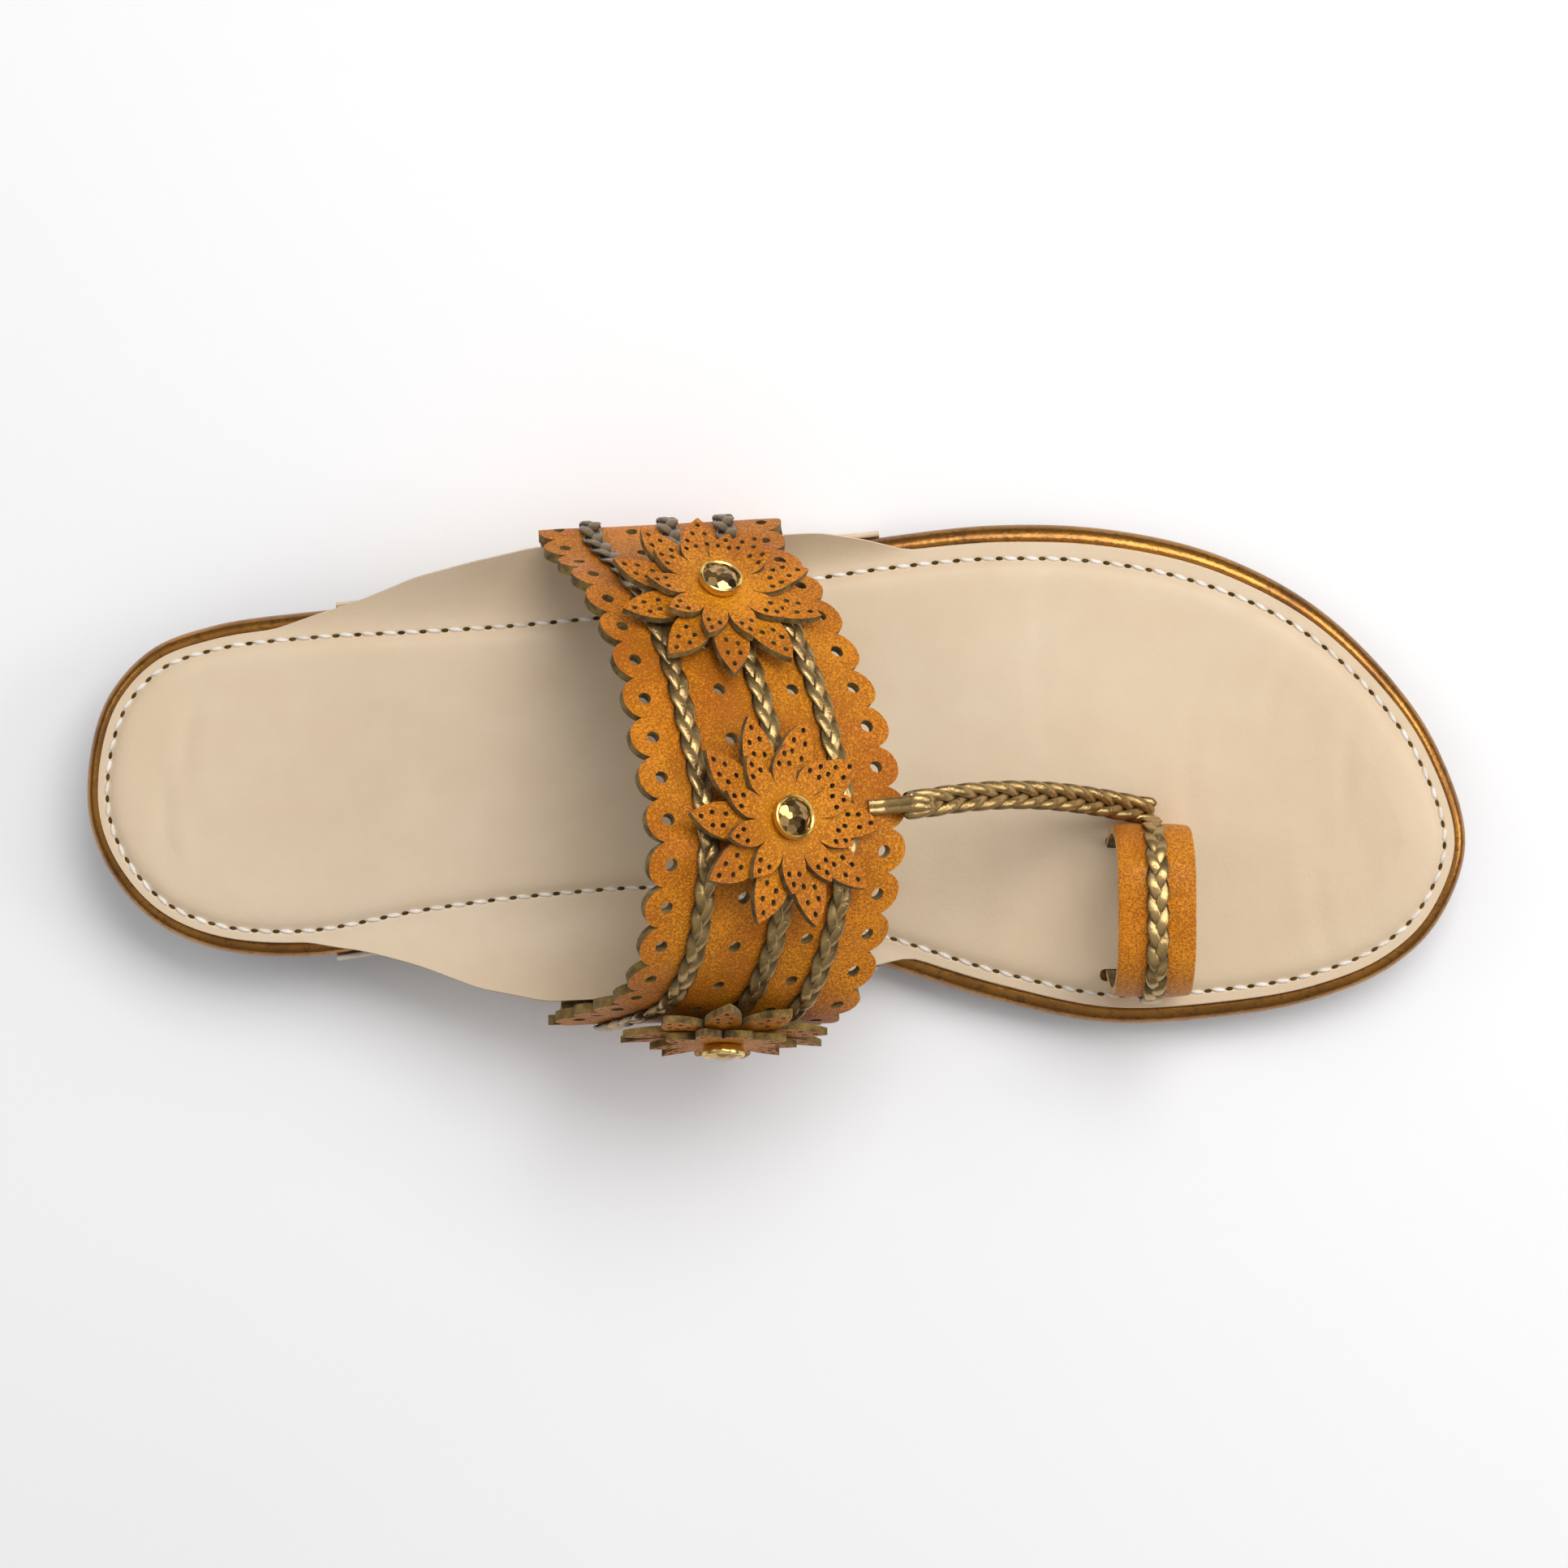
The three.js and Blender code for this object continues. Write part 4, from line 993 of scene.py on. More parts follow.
def make_facing(side):
    first = WING_ROWS[side][1][0] - 0.02
    last = WING_ROWS[side][-2][0] + 0.012
    clear = GAP + WING_FACING / 2
    rows = []
    for share in np.linspace(0, 1, 64):
        along = first + (last - first) * share
        out, lift = wing_reach(side, along)
        climb = eased(share, 0, 0.16) * (1 - eased(share, 0.9, 1))
        belly = max(clear, FACING_BELLY * (out - RIM_BACK))
        top_out = max(clear + 0.3, out - RIM_BACK - WING_FACING * 0.2)
        top = bed_at(along) + lift - GAP - WING_FACING * 0.85
        low = seam_at(along) + 1.8
        tucked = seam_at(along) + GAP + WING_FACING / 2
        marks = [
            (-TUCK_DEPTH, tucked),
            (-0.8, tucked),
            (clear, low),
            (clear + (belly - clear) * climb, low + 1 + (FACING_RISE * (top - low) - 1) * climb),
            (clear + (top_out - clear) * climb, low + 2 + (top - low - 2) * climb),
        ]
        places = []
        for margin, height in marks:
            place = edge_place(side, along, margin)
            place[2] = height
            places.append(place)
        rows.append(smooth_curve(places, samples=5))
    rows = np.array(rows)
    normal = unit(np.cross(np.gradient(rows, axis=0), np.gradient(rows, axis=1)))
    rings = wall_rows(rows, normal, WING_FACING)
    rim = np.zeros(rings.shape[:2])
    rim[:, rows.shape[1] : rows.shape[1] + 3] = 1.0
    mesh = moved_grid(rings, rim=rim)
    layer = mesh.verts.layers.float["rim"]
    for face in mesh.faces:
        share = sum(vert[layer] for vert in face.verts) / len(face.verts)
        face.material_index = 1 if share > 0.9 and side == "inner" else 0
    return mesh


finished(make_facing("outer"), "outer_wing_facing", [lining], ["wing_outer"])
finished(
    make_facing("inner"), "inner_wing_facing", [lining, white_edge], ["wing_inner"]
)

# %% [markdown]
# ## The band
#
# The band is a strap of tan leather about 2 mm thick. A shoemaker cuts it in the flat:
# scallops along both edges, a hole in each scallop and two rows of holes between. Then
# it is bent over the last. The same order works here. A flat plate is cut once, and then
# every vertex is carried on to the curved wall between the two lines of edge holes.

# %% Sizes and lines of the band
ARCH_WIDTH = 88
ARCH_HEIGHT = 68
BAND_THICKNESS = 1.8
SCALLOP_PITCH = 7.2
SCALLOP_RADIUS = 3.8
HOLE_RADIUS = 1.05
HOLE_PITCH = 9.2
HOLE_SHARES = (0.38, 0.67)
BAND_END = 16
BAND_CLEAR = GAP + WING_FACING + GAP + BAND_THICKNESS / 2
REAR_ROWS = [
    (-0.153, 0.474, 0.426), (-0.142, 0.441, 0.52), (-0.125, 0.39, 0.659),
    (-0.108, 0.305, 0.772), (-0.094, 0.2, 0.859), (-0.085, 0.084, 0.921),
    (-0.076, -0.032, 0.976), (-0.072, -0.114, 1), (-0.074, -0.197, 0.985),
    (-0.08, -0.314, 0.915), (-0.089, -0.375, 0.84), (-0.1, -0.415, 0.747),
    (-0.118, -0.438, 0.64), (-0.134, -0.456, 0.537), (-0.148, -0.474, 0.426),
]
FRONT_ROWS = [
    (-0.008, 0.472, 0.41), (0.004, 0.428, 0.485), (0.018, 0.377, 0.551),
    (0.032, 0.305, 0.6), (0.046, 0.216, 0.645), (0.058, 0.125, 0.683),
    (0.066, 0.034, 0.713), (0.071, -0.052, 0.738), (0.071, -0.136, 0.748),
    (0.062, -0.264, 0.714), (0.054, -0.341, 0.68), (0.045, -0.405, 0.638),
    (0.03, -0.455, 0.558), (0.016, -0.472, 0.456), (0.008, -0.47, 0.36),
]


def band_foot(side, x):
    """Where an edge of the band passes its tuck, the sole's edge and the wing's rim."""
    along = along_of(x)
    out, lift = wing_reach(side, along)
    tuck = edge_place(side, along, -TUCK_DEPTH)
    edge = edge_place(side, along, BAND_CLEAR)
    wing = edge_place(side, along, max(out - RIM_BACK, 0) + BAND_CLEAR)
    tuck[2] = seam_at(along) - BAND_THICKNESS / 2
    edge[2] = tuck[2] + BAND_THICKNESS
    wing[2] = bed_at(along) + lift - WING_FACING
    return [tuck, edge, wing]


def band_line(rows):
    """One line of edge holes, from the outer tuck over the instep to the inner one."""
    sizes = np.array([SOLE_LENGTH, ARCH_WIDTH, ARCH_HEIGHT])
    places = [np.array(row) * sizes for row in rows]
    start = band_foot("outer", places[0][0])
    end = band_foot("inner", places[-1][0])[::-1]
    return Line(smooth_curve([*start, *places, *end], samples=50))


rear_line = band_line(REAR_ROWS)
front_line = band_line(FRONT_ROWS)
BAND_LENGTH = (rear_line.length + front_line.length) / 2
print("band length:", round(BAND_LENGTH, 1), "mm")


# %% Wall of the band
def band_point(turn, over):
    """Middle of the wall: turn goes over the instep, over goes from rear to front."""
    rear = rear_line.at(turn)
    front = front_line.at(turn)
    return rear + (front - rear) * np.asarray(over)[..., None]


def band_frame(turn, over):
    """Place on the wall with its three directions."""
    turn = np.asarray(turn, float)
    over = np.asarray(over, float)
    step = 0.006
    along = unit(band_point(turn + step, over) - band_point(turn - step, over))
    across = unit(band_point(turn, over + 0.01) - band_point(turn, over - 0.01))
    normal = unit(np.cross(along, across))
    return band_point(turn, over), along, np.cross(normal, along), normal


def band_width(turn):
    return np.linalg.norm(band_point(turn, 1.0) - band_point(turn, 0.0), axis=-1)


def over_from_width(turn, share):
    """Share of the way over the band for a share of its width from tip to tip."""
    width = band_width(turn)
    return (share * (width + 2 * SCALLOP_RADIUS) - SCALLOP_RADIUS) / width


MEAN_WIDTH = float(np.mean(band_width(np.linspace(0.1, 0.9, 50))))
BAND_MARGIN = BAND_END / BAND_LENGTH
print("band width between its edge holes:", round(MEAN_WIDTH, 1), "mm")


# %% Tools for cutting the band
def notch_tool(mesh, x, y, pitch, turned, stretch):
    """Adds the tool for the notch between two scallops, with its mouth outwards."""
    half = pitch / 2
    reach = SCALLOP_RADIUS
    arc = np.linspace(math.acos(min(half / reach, 1)), 0.485 * math.pi, 9)
    right = [(half - reach * math.cos(a), reach * math.sin(a)) for a in arc]
    right.append((right[-1][0], reach * 1.6))
    sketch = right + [(-a, b) for a, b in right[::-1]]
    sign = -1 if turned else 1
    corners = [mesh.verts.new((x + a * stretch * sign, y + b * sign, -4)) for a, b in sketch]
    face = mesh.faces.new(corners)
    pulled = bmesh.ops.extrude_face_region(mesh, geom=[face])
    raised = [item for item in pulled["geom"] if isinstance(item, bmesh.types.BMVert)]
    bmesh.ops.translate(mesh, verts=raised, vec=(0, 0, 8))


def punch_tool(mesh, x, y, radius, stretch=1.0, turn=0.0):
    """Adds a round punch."""
    place = Matrix.Translation((x, y, 0)) @ Matrix.Rotation(turn, 4, "Z")
    size = Matrix.Diagonal((stretch, 1, 1, 1))
    bmesh.ops.create_cone(
        mesh, cap_ends=True, segments=14, radius1=radius, radius2=radius, depth=8,
        matrix=place @ size,
    )


def even_turns(pitch, length):
    """Places at one spacing along the band, between its two lasted ends."""
    bare = length * (1 - 2 * BAND_MARGIN)
    count = round(bare / pitch)
    return np.linspace(BAND_MARGIN, 1 - BAND_MARGIN, count + 1), bare / count


def band_cutter():
    mesh = bmesh.new()
    for line, y, turned in ((rear_line, 0.0, True), (front_line, MEAN_WIDTH, False)):
        turns, spacing = even_turns(SCALLOP_PITCH, line.length)
        stretch = BAND_LENGTH / line.length
        for turn in turns:
            punch_tool(mesh, turn * BAND_LENGTH, y, HOLE_RADIUS, stretch)
        for turn in (turns[1:] + turns[:-1]) / 2:
            notch_tool(mesh, turn * BAND_LENGTH, y, spacing, turned, stretch)
    for share in HOLE_SHARES:
        turns, _ = even_turns(HOLE_PITCH, BAND_LENGTH)
        for turn in turns[1:-1]:
            y = over_from_width(turn, share) * MEAN_WIDTH
            punch_tool(mesh, turn * BAND_LENGTH, float(y), HOLE_RADIUS)
    bmesh.ops.recalc_face_normals(mesh, faces=mesh.faces)
    return mesh


# %% Band
def bent_band(places):
    """Flat places carried on to the wall of the band."""
    turn = places[:, 0] / BAND_LENGTH
    over = places[:, 1] / MEAN_WIDTH
    point, _, _, normal = band_frame(turn, over)
    edge = np.minimum(np.abs(over), np.abs(over - 1))
    curl = 0.5 * np.exp(-((edge / 0.09) ** 2)) * np.sin(turn * 61 + over * 2.4)
    ripple = curl * np.clip(np.sin(turn * math.pi) * 3 - 0.6, 0, 1)
    return point + normal * (places[:, 2] + ripple * 0.5)[:, None]


def make_band():
    tip = SCALLOP_RADIUS * 0.985
    x = np.linspace(0, BAND_LENGTH, 220)
    y = np.linspace(-tip, MEAN_WIDTH + tip, 48)
    middle = np.stack([*np.meshgrid(x, y, indexing="ij"), np.zeros((220, 48))], axis=-1)
    straight = np.broadcast_to([0.0, 0.0, 1.0], middle.shape)
    mesh = cut_out(moved_grid(wall_rows(middle, straight, BAND_THICKNESS, soft=0)), band_cutter())
    mesh.normal_update()
    for face in mesh.faces:
        face.material_index = 0 if face.normal.z > 0.5 else 1
    remapped(mesh, bent_band)
    return mesh


finished(make_band(), "tan_band", [tan_leather, suede], ["upper"])

# %% [markdown]
# ## Braids
#
# A flat three-strand braid is three ribbons on one path, a third of a round apart. Seen
# from above each ribbon swings from side to side, and it rises twice for each swing, on
# its way in from the left edge and from the right. Two sine curves say exactly that. The
# cord to the toe has five thinner strands on the same kind of path. A value for patina and
# painted shade stays on each vertex. It grows where a ribbon dips and along its two edges,
# as patina, and towards the outer side of the shoe, as painted shade, and the foil darkens
# with it.

# %% Strands
# Painted shade: the foil darkens across the outer side of the shoe, from the first distance out
# over the second.
OUTER_SHADE_FROM = 30
OUTER_SHADE_OVER = 9


def strand(centre, across, normal, period, swing, lift, rise, ribbon, thick, phase):
    """One ribbon of a braid along a centre line, closed at both ends."""
    sides = 12
    steps = np.linalg.norm(np.diff(centre, axis=0), axis=1)
    walked = np.concatenate([[0], np.cumsum(steps)])
    angle = walked / period * 2 * math.pi + phase
    ends = np.minimum(walked, walked[-1] - walked)
    close = np.sqrt(np.clip(ends / (ribbon * 0.5), 0, 1))
    swung = across * (swing * np.sin(angle))[:, None]
    height = -np.sin(2 * angle)
    raised = normal * (lift + rise * height)[:, None]
    path = centre + swung + raised
    ahead = unit(np.gradient(path, axis=0))
    side = unit(np.cross(ahead, normal))
    high = np.cross(side, ahead)
    way = np.linspace(0, 2 * math.pi, sides + 1)
    flat = np.sign(np.cos(way)) * np.abs(np.cos(way)) ** 0.75 * ribbon / 2
    deep = np.sign(np.sin(way)) * np.abs(np.sin(way)) ** 0.85 * thick / 2
    rings = path[:, None] + side[:, None] * (flat[None, :] * close[:, None])[..., None]
    rings = rings + high[:, None] * (deep[None, :] * close[:, None])[..., None]
    # Patina where a ribbon dips and along its two edges; the darkening towards the outer side is
    # painted shade.
    dip = 0.5 - 0.5 * height
    rim = np.abs(np.cos(way)) ** 5
    outer = np.clip((path[:, 1] - OUTER_SHADE_FROM) / OUTER_SHADE_OVER, 0, 1)
    dip_patina_and_outer_shade = 0.6 * outer + 0.75 * dip**1.5
    patina = np.clip(dip_patina_and_outer_shade[:, None] + 0.45 * rim[None, :], 0, 1)
    return moved_grid(rings, patina=patina)


def make_braid(centre, across, normal, strands=3, **shape):
    """Strands on one path, evenly apart."""
    turns = [2 * math.pi * i / strands for i in range(strands)]
    return joined([strand(centre, across, normal, phase=turn, **shape) for turn in turns])


# %% Braids along the band
BRAID_THICKNESS = 1.3
BRAID_LIFT = BAND_THICKNESS / 2 + 0.42
FLAT_BRAID = {
    "period": 14.7, "swing": 0.98, "lift": 0.72, "rise": 0.3, "ribbon": 1.98, "thick": 0.62
}
for braid_name, braid_share in (("rear", 0.215), ("middle", 0.53), ("front", 0.76)):
    braid_turn = np.linspace(BAND_MARGIN * 0.9, 1 - BAND_MARGIN * 0.9, 420)
    braid_over = over_from_width(braid_turn, braid_share)
    point, _, across, normal = band_frame(braid_turn, braid_over)
    centre = point + normal * (BAND_THICKNESS / 2)
    finished(
        make_braid(centre, across, normal, **FLAT_BRAID),
        f"band_braid_{braid_name}", [braid_foil], [f"braid_{braid_name}"], crisp=60,
    )

# %% [markdown]
# ## Flowers
#
# Each flower is two layers of the same tan leather with ten pointed petals, and every
# petal has a few small punched dots. One lower and one upper layer are cut in the flat,
# as a die would do it. Copies are then bent by listed lifts for each petal and carried
# to their three places on the band, so no two flowers look stamped.

# %% Seats of the flowers
FLOWER_RADIUS = 18.6
FLOWER_SHEET = 1.25
UPPER_SCALE = 0.69
FLOWER_LIFT = BRAID_LIFT + BRAID_THICKNESS + GAP
UPPER_LIFT = FLOWER_LIFT + 1.4
BEZEL_LIFT = UPPER_LIFT + 1.4
PETALS = 10
PETAL_STEP = 2 * math.pi / PETALS
SWIRL = 0.07
DOT_RADIUS = 0.42

search = np.linspace(0, 1, 2001)
heights = band_point(search, np.full(2001, 0.5))[:, 1]
MIDDLE_TURN = float(search[np.argmin(np.abs(heights + 0.06 * ARCH_WIDTH))])


def seat_matrix(turn, share, tilt, back):
    """Matrix of a seat on the band: X along it, Y over it, Z out of it."""
    over = over_from_width(turn, share)
    point, along, across, normal = band_frame(turn, over)
    basis = Matrix([along, across, normal]).transposed().to_4x4()
    lean = Matrix.Rotation(math.radians(tilt), 4, "X")
    spin = Matrix.Rotation(math.radians(back), 4, "Z")
    return Matrix.Translation(point) @ basis @ lean @ spin


FLOWER_SEATS = {
    "outer": seat_matrix(MIDDLE_TURN - 41.0 / BAND_LENGTH, 0.5, tilt=-2, back=4),
    "middle": seat_matrix(MIDDLE_TURN + 1.6 / BAND_LENGTH, 0.485, tilt=-5.5, back=-3),
    "inner": seat_matrix(MIDDLE_TURN + 47.0 / BAND_LENGTH, 0.56, tilt=-1, back=6),
}
print("middle flower at turn", round(MIDDLE_TURN, 3))


# %% One layer, cut in the flat
def petal_reach(angle, valley, first):
    """Radius share of a pointed petal at an angle, from its valley to its tip."""
    share = ((angle - first) / PETAL_STEP) % 1.0
    from_valley = 1 - np.abs(share * 2 - 1)
    rise = 0.7 * from_valley**0.45 + 0.3 * from_valley
    return valley + (1 - valley) * rise


def layer_blank(radius, valley, first):
    """The blank of a layer, with the valleys of its petals swung a little one way."""
    around = PETALS * 24
    angle = np.linspace(0, 2 * math.pi, around + 1)
    tip = radius * petal_reach(angle, valley, first)
    shares = np.array([0.0, 0.15, 0.3, 0.45, 0.6, 0.72, 0.82, 0.9, 0.96, 1.0])
    reach = shares[:, None] * tip[None, :]
    swirl = angle[None, :] + SWIRL * np.sin(math.pi * reach / radius)
    places = np.stack([reach * np.cos(swirl), reach * np.sin(swirl), np.zeros_like(reach)], -1)
    up = np.array([0, 0, FLOWER_SHEET])
    rows = np.concatenate([places + up, places[::-1]])
    return moved_grid(rows)


def dot_cutter(radius, first, dots):
    """Small oval punches at the same places on every petal."""
    mesh = bmesh.new()
    for petal in range(PETALS):
        axis = first + (petal + 0.5) * 2 * math.pi / PETALS
        for reach, off in dots:
            angle = axis + math.radians(off) + SWIRL * math.sin(math.pi * reach)
            x = radius * reach * math.cos(angle)
            y = radius * reach * math.sin(angle)
            punch_tool(mesh, x, y, DOT_RADIUS, 1.25, angle)
    return mesh


LOWER_DOTS = [(0.89, 0), (0.77, 4.4), (0.77, -4.4), (0.66, 4.2), (0.62, -5.5)]
UPPER_DOTS = [(0.87, 0), (0.74, 6.0), (0.74, -6.0)]


def cut_layer(radius, valley, first, dots):
    mesh = cut_out(layer_blank(radius, valley, first), dot_cutter(radius, first, dots))
    mesh.normal_update()
    reach = mesh.verts.layers.float.new("reach")
    for vert in mesh.verts:
        vert[reach] = math.hypot(vert.co.x, vert.co.y) / radius
    for face in mesh.faces:
        face.material_index = 0 if face.normal.z > 0.5 else 1
    return mesh


lower_layer = cut_layer(FLOWER_RADIUS, 0.46, 0.0, LOWER_DOTS)
upper_layer = cut_layer(FLOWER_RADIUS * UPPER_SCALE, 0.5, PETAL_STEP / 2, UPPER_DOTS)
print("faces of a lower layer:", len(lower_layer.faces))

# %% Lift of every petal's tip in millimetres
LOWER_LIFTS = {
    "outer": [0.6, 0.9, 0.2, -0.3, 0.5, 1.1, 1.4, 0.4, -0.2, 0.1],
    "middle": [0.4, 0.7, 0.6, 0.5, 0.6, 0.6, 1.2, 0.9, 0.5, 0.8],
    "inner": [0.3, -0.1, 0.6, 0.9, 0.0, -0.2, 0.5, 1.0, 0.8, 0.2],
}
UPPER_LIFTS = {
    "outer": [0.5, 1.0, 1.3, 0.6, 0.3, 0.8, 1.2, 1.5, 0.6, 0.4],
    "middle": [0.4, 0.1, 0.5, 0.9, 0.3, 0.2, 0.7, 1.1, 0.5, 0.4],
    "inner": [0.9, 0.6, 0.3, 0.8, 1.2, 0.6, 0.4, 0.9, 1.3, 0.7],
}


def bent_layer(places, radius, lift, droop, lifts, first):
    """A flat layer bent along the band, with the tip of each petal at its own lift."""
    reach = np.hypot(places[:, 0], places[:, 1]) / radius
    share = (np.arctan2(places[:, 1], places[:, 0]) - first) / PETAL_STEP - 0.5
    near = np.interp(share % PETALS, np.arange(PETALS + 1), [*lifts, lifts[0]])
    cup = np.clip((reach - 0.4) / 0.6, 0, 1) ** 1.6
    sag = droop * (places[:, 0] / FLOWER_RADIUS) ** 2
    bent = places.copy()
    bent[:, 2] += lift - sag + near * cup
    return bent


def seated(mesh, matrix, **bend):
    """A bent copy of a layer at its seat."""
    copy = mesh.copy()
    remapped(copy, lambda places: bent_layer(places, **bend))
    bmesh.ops.transform(copy, matrix=matrix, verts=copy.verts)
    return copy


# %% Layers at their seats
UPPER_RADIUS = FLOWER_RADIUS * UPPER_SCALE
LAYERS = [
    ("lower", lower_layer, LOWER_LIFTS, FLOWER_RADIUS, FLOWER_LIFT, 1.6, 0.0),
    ("upper", upper_layer, UPPER_LIFTS, UPPER_RADIUS, UPPER_LIFT, 1.2, PETAL_STEP / 2),
]
for seat_name, seat in FLOWER_SEATS.items():
    for layer_name, flat, petal_lifts, radius, lift, droop, first in LAYERS:
        finished(
            seated(
                flat, seat, radius=radius, lift=lift, droop=droop,
                lifts=petal_lifts[seat_name], first=first,
            ),
            f"{layer_name}_petals_{seat_name}", [petal_leather, suede],
            [f"flower_{layer_name}_{seat_name}"],
        )
lower_layer.free()
upper_layer.free()

# %% [markdown]
# ### Brass cups and cut stones
#
# A turned brass cup is a profile spun about its axis. The stone is cut like a real one:
# it starts as a round blank, and flat planes take slices off it until only facets are
# left. Each facet gets its own painted brightness, a painted reflection in place of the
# light that cut glass over foil throws back.


# %% Brass cup
CUP_PROFILE = [
    (0.0, -2.6), (1.1, -2.6), (1.1, 0), (3.3, 0.02), (3.62, 0.35), (3.78, 1.0), (3.8, 1.45),
    (3.68, 1.75), (3.45, 1.86), (3.22, 1.72), (3.12, 1.4), (3.1, 0.6), (0.0, 0.6),
]


def make_cup():
    mesh = bmesh.new()
    corners = [mesh.verts.new((x, 0, BEZEL_LIFT + z)) for x, z in CUP_PROFILE]
    edges = [mesh.edges.new(pair) for pair in zip(corners, corners[1:])]
    bmesh.ops.spin(
        mesh, geom=corners + edges, axis=(0, 0, 1), cent=(0, 0, 0), angle=2 * math.pi,
        steps=48, use_merge=True,
    )
    bmesh.ops.remove_doubles(mesh, verts=mesh.verts, dist=0.002)
    bmesh.ops.recalc_face_normals(mesh, faces=mesh.faces)
    return mesh


# %% Cut stone
STONE_RADIUS = 3.1
STONE_TIERS = [(0.0, 42, 0.92, 0.25), (0.5, 31, 0.76, 0.52), (0.0, 19, 0.56, 0.86)]
# Painted reflections: one brightness for each facet, from dark to bright.
FACET_GLINTS = [0.15, 0.75, 0.35, 1.0, 0.25, 0.6, 0.05, 0.9, 0.45, 0.2, 0.8, 0.5]


def sliced(mesh, place, normal):
    """The part of a closed mesh behind a plane, closed again."""
    everything = mesh.verts[:] + mesh.edges[:] + mesh.faces[:]
    bmesh.ops.bisect_plane(
        mesh, geom=everything, plane_co=place, plane_no=normal, clear_outer=True
    )
    bmesh.ops.holes_fill(mesh, edges=[edge for edge in mesh.edges if edge.is_boundary], sides=0)


def make_stone():
    girdle = BEZEL_LIFT + 1.35
    mesh = bmesh.new()
    bmesh.ops.create_cone(
        mesh, cap_ends=True, segments=32, radius1=STONE_RADIUS, radius2=STONE_RADIUS,
        depth=2.4, matrix=Matrix.Translation((0, 0, girdle + 0.4)),
    )
    up = Vector((0, 0, 1))
    for shift, steep, reach, high in STONE_TIERS:
        lean = math.radians(steep)
        for i in range(8):
            turn = (i + shift) / 8 * 2 * math.pi
            away = Vector((math.cos(turn), math.sin(turn), 0))
            normal = away * math.sin(lean) + up * math.cos(lean)
            sliced(mesh, away * STONE_RADIUS * reach + up * (girdle + high), normal)
    sliced(mesh, up * (girdle + 1.1), up)
    mesh.normal_update()
    bmesh.ops.poke(mesh, faces=[face for face in mesh.faces if face.normal.z > 0.99])
    # Each facet keeps a painted brightness in place of the light a cut stone reflects.
    facet_glint = mesh.faces.layers.float.new("facet_glint")
    for index, face in enumerate(mesh.faces):
        face[facet_glint] = FACET_GLINTS[index * 5 % len(FACET_GLINTS)]
    return mesh


# %% Cups and stones at their seats
for seat_name, seat in FLOWER_SEATS.items():
    cup = make_cup()
    stone = make_stone()
    for mesh in (cup, stone):
        bmesh.ops.transform(mesh, matrix=seat, verts=mesh.verts)
    finished(cup, f"brass_cup_{seat_name}", [brass], [f"bezel_{seat_name}"])
    finished(
        stone, f"cut_stone_{seat_name}", [smoke_stone], [f"stone_{seat_name}"],
        crisp=1,
    )

# %% [markdown]
# ## Link and cord to the toe
#
# A short strip of the same foil leather is folded round the start of the cord and sewn
# under the flower, with a groove down its middle. The cord is a rounder braid of five
# strips that falls from the band's front edge to the foot of the toe ring.

# %% Seat of the link
CORD_WIDTH = 5.0
CORD_THICKNESS = 3.0
LOOP_SHEET = 0.8
LOOP_SLEEVE = 3.4
sleeve_over = 1 + SCALLOP_RADIUS / float(band_width(MIDDLE_TURN))
sleeve_point, sleeve_along, sleeve_across, sleeve_normal = band_frame(MIDDLE_TURN, sleeve_over)
sleeve_point = sleeve_point + sleeve_normal * (BAND_THICKNESS / 2 + GAP)


# %% Link
LINK_PATH = [
    (-7.0, 0.3), (-4.4, 0.9), (-2.0, 2.9), (0.4, 4.5), (2.6, 4.5),
    (4.0, 3.2), (3.7, 1.6), (2.2, 0.5), (0.2, -0.1),
]
LINK_HALF = 1.25
LINK_SHEET = 0.9


def make_link():
    line = Line(smooth_curve([(0, y, z) for y, z in LINK_PATH], samples=16))
    spine = line.at(np.linspace(0, 1, 60))
    ahead = unit(np.gradient(spine, axis=0))
    rows = []
    for place, way in zip(spine, ahead):
        out = np.array([0, -way[2], way[1]])
        cuts = np.linspace(-LINK_HALF, LINK_HALF, 13)
        dip = -0.28 * np.exp(-((cuts / 0.22) ** 2)) - 0.16 * (cuts / LINK_HALF) ** 4
        rows.append(place + np.outer(cuts, [1, 0, 0]) + np.outer(dip, out))
    rows = np.array(rows)
    normal = unit(np.cross(np.gradient(rows, axis=1), np.gradient(rows, axis=0)))
    rings = wall_rows(rows, normal, LINK_SHEET)
    basis = np.array([sleeve_along, sleeve_across, sleeve_normal])
    values = np.full(rings.shape[:2], 0.15)
    return moved_grid(rings @ basis + sleeve_point, patina=values)


finished(make_link(), "cord_link", [cord_foil], ["toe_loop"], crisp=60)

# %% Route of the cord
CORD_BOW = 1.7
CORD_PAST = 1.6
CORD_SIDE = 0.4
CORD_REST = 0.4
CORD_ROUTE = [
    (0, 0, 0), (0.18, -0.08, 0.15), (0.36, -0.02, 0.33), (0.55, 0.2, 0.54),
    (0.74, 0.55, 0.76), (0.9, 0.88, 0.93), (1, 1, 1),
]
cord_end = np.array([
    RING_ALONG + CORD_PAST,
    RING_ACROSS + RING_SPAN / 2 + CORD_WIDTH * CORD_SIDE,
    RING_FLOOR + CORD_REST + CORD_THICKNESS / 2,
])
sleeve_middle = LOOP_SHEET + (CORD_THICKNESS + 2 * GAP) / 2
cord_start = sleeve_point - sleeve_across * LOOP_SLEEVE * 0.8 + sleeve_normal * sleeve_middle
cord_mouth = cord_start + sleeve_across * LOOP_SLEEVE
cord_places = [
    cord_mouth + (cord_end - cord_mouth) * row + [0, CORD_BOW * math.sin(math.pi * row[0]), 0]
    for row in np.array(CORD_ROUTE)
]
cord_line = Line(smooth_curve([cord_start, *cord_places], samples=40))
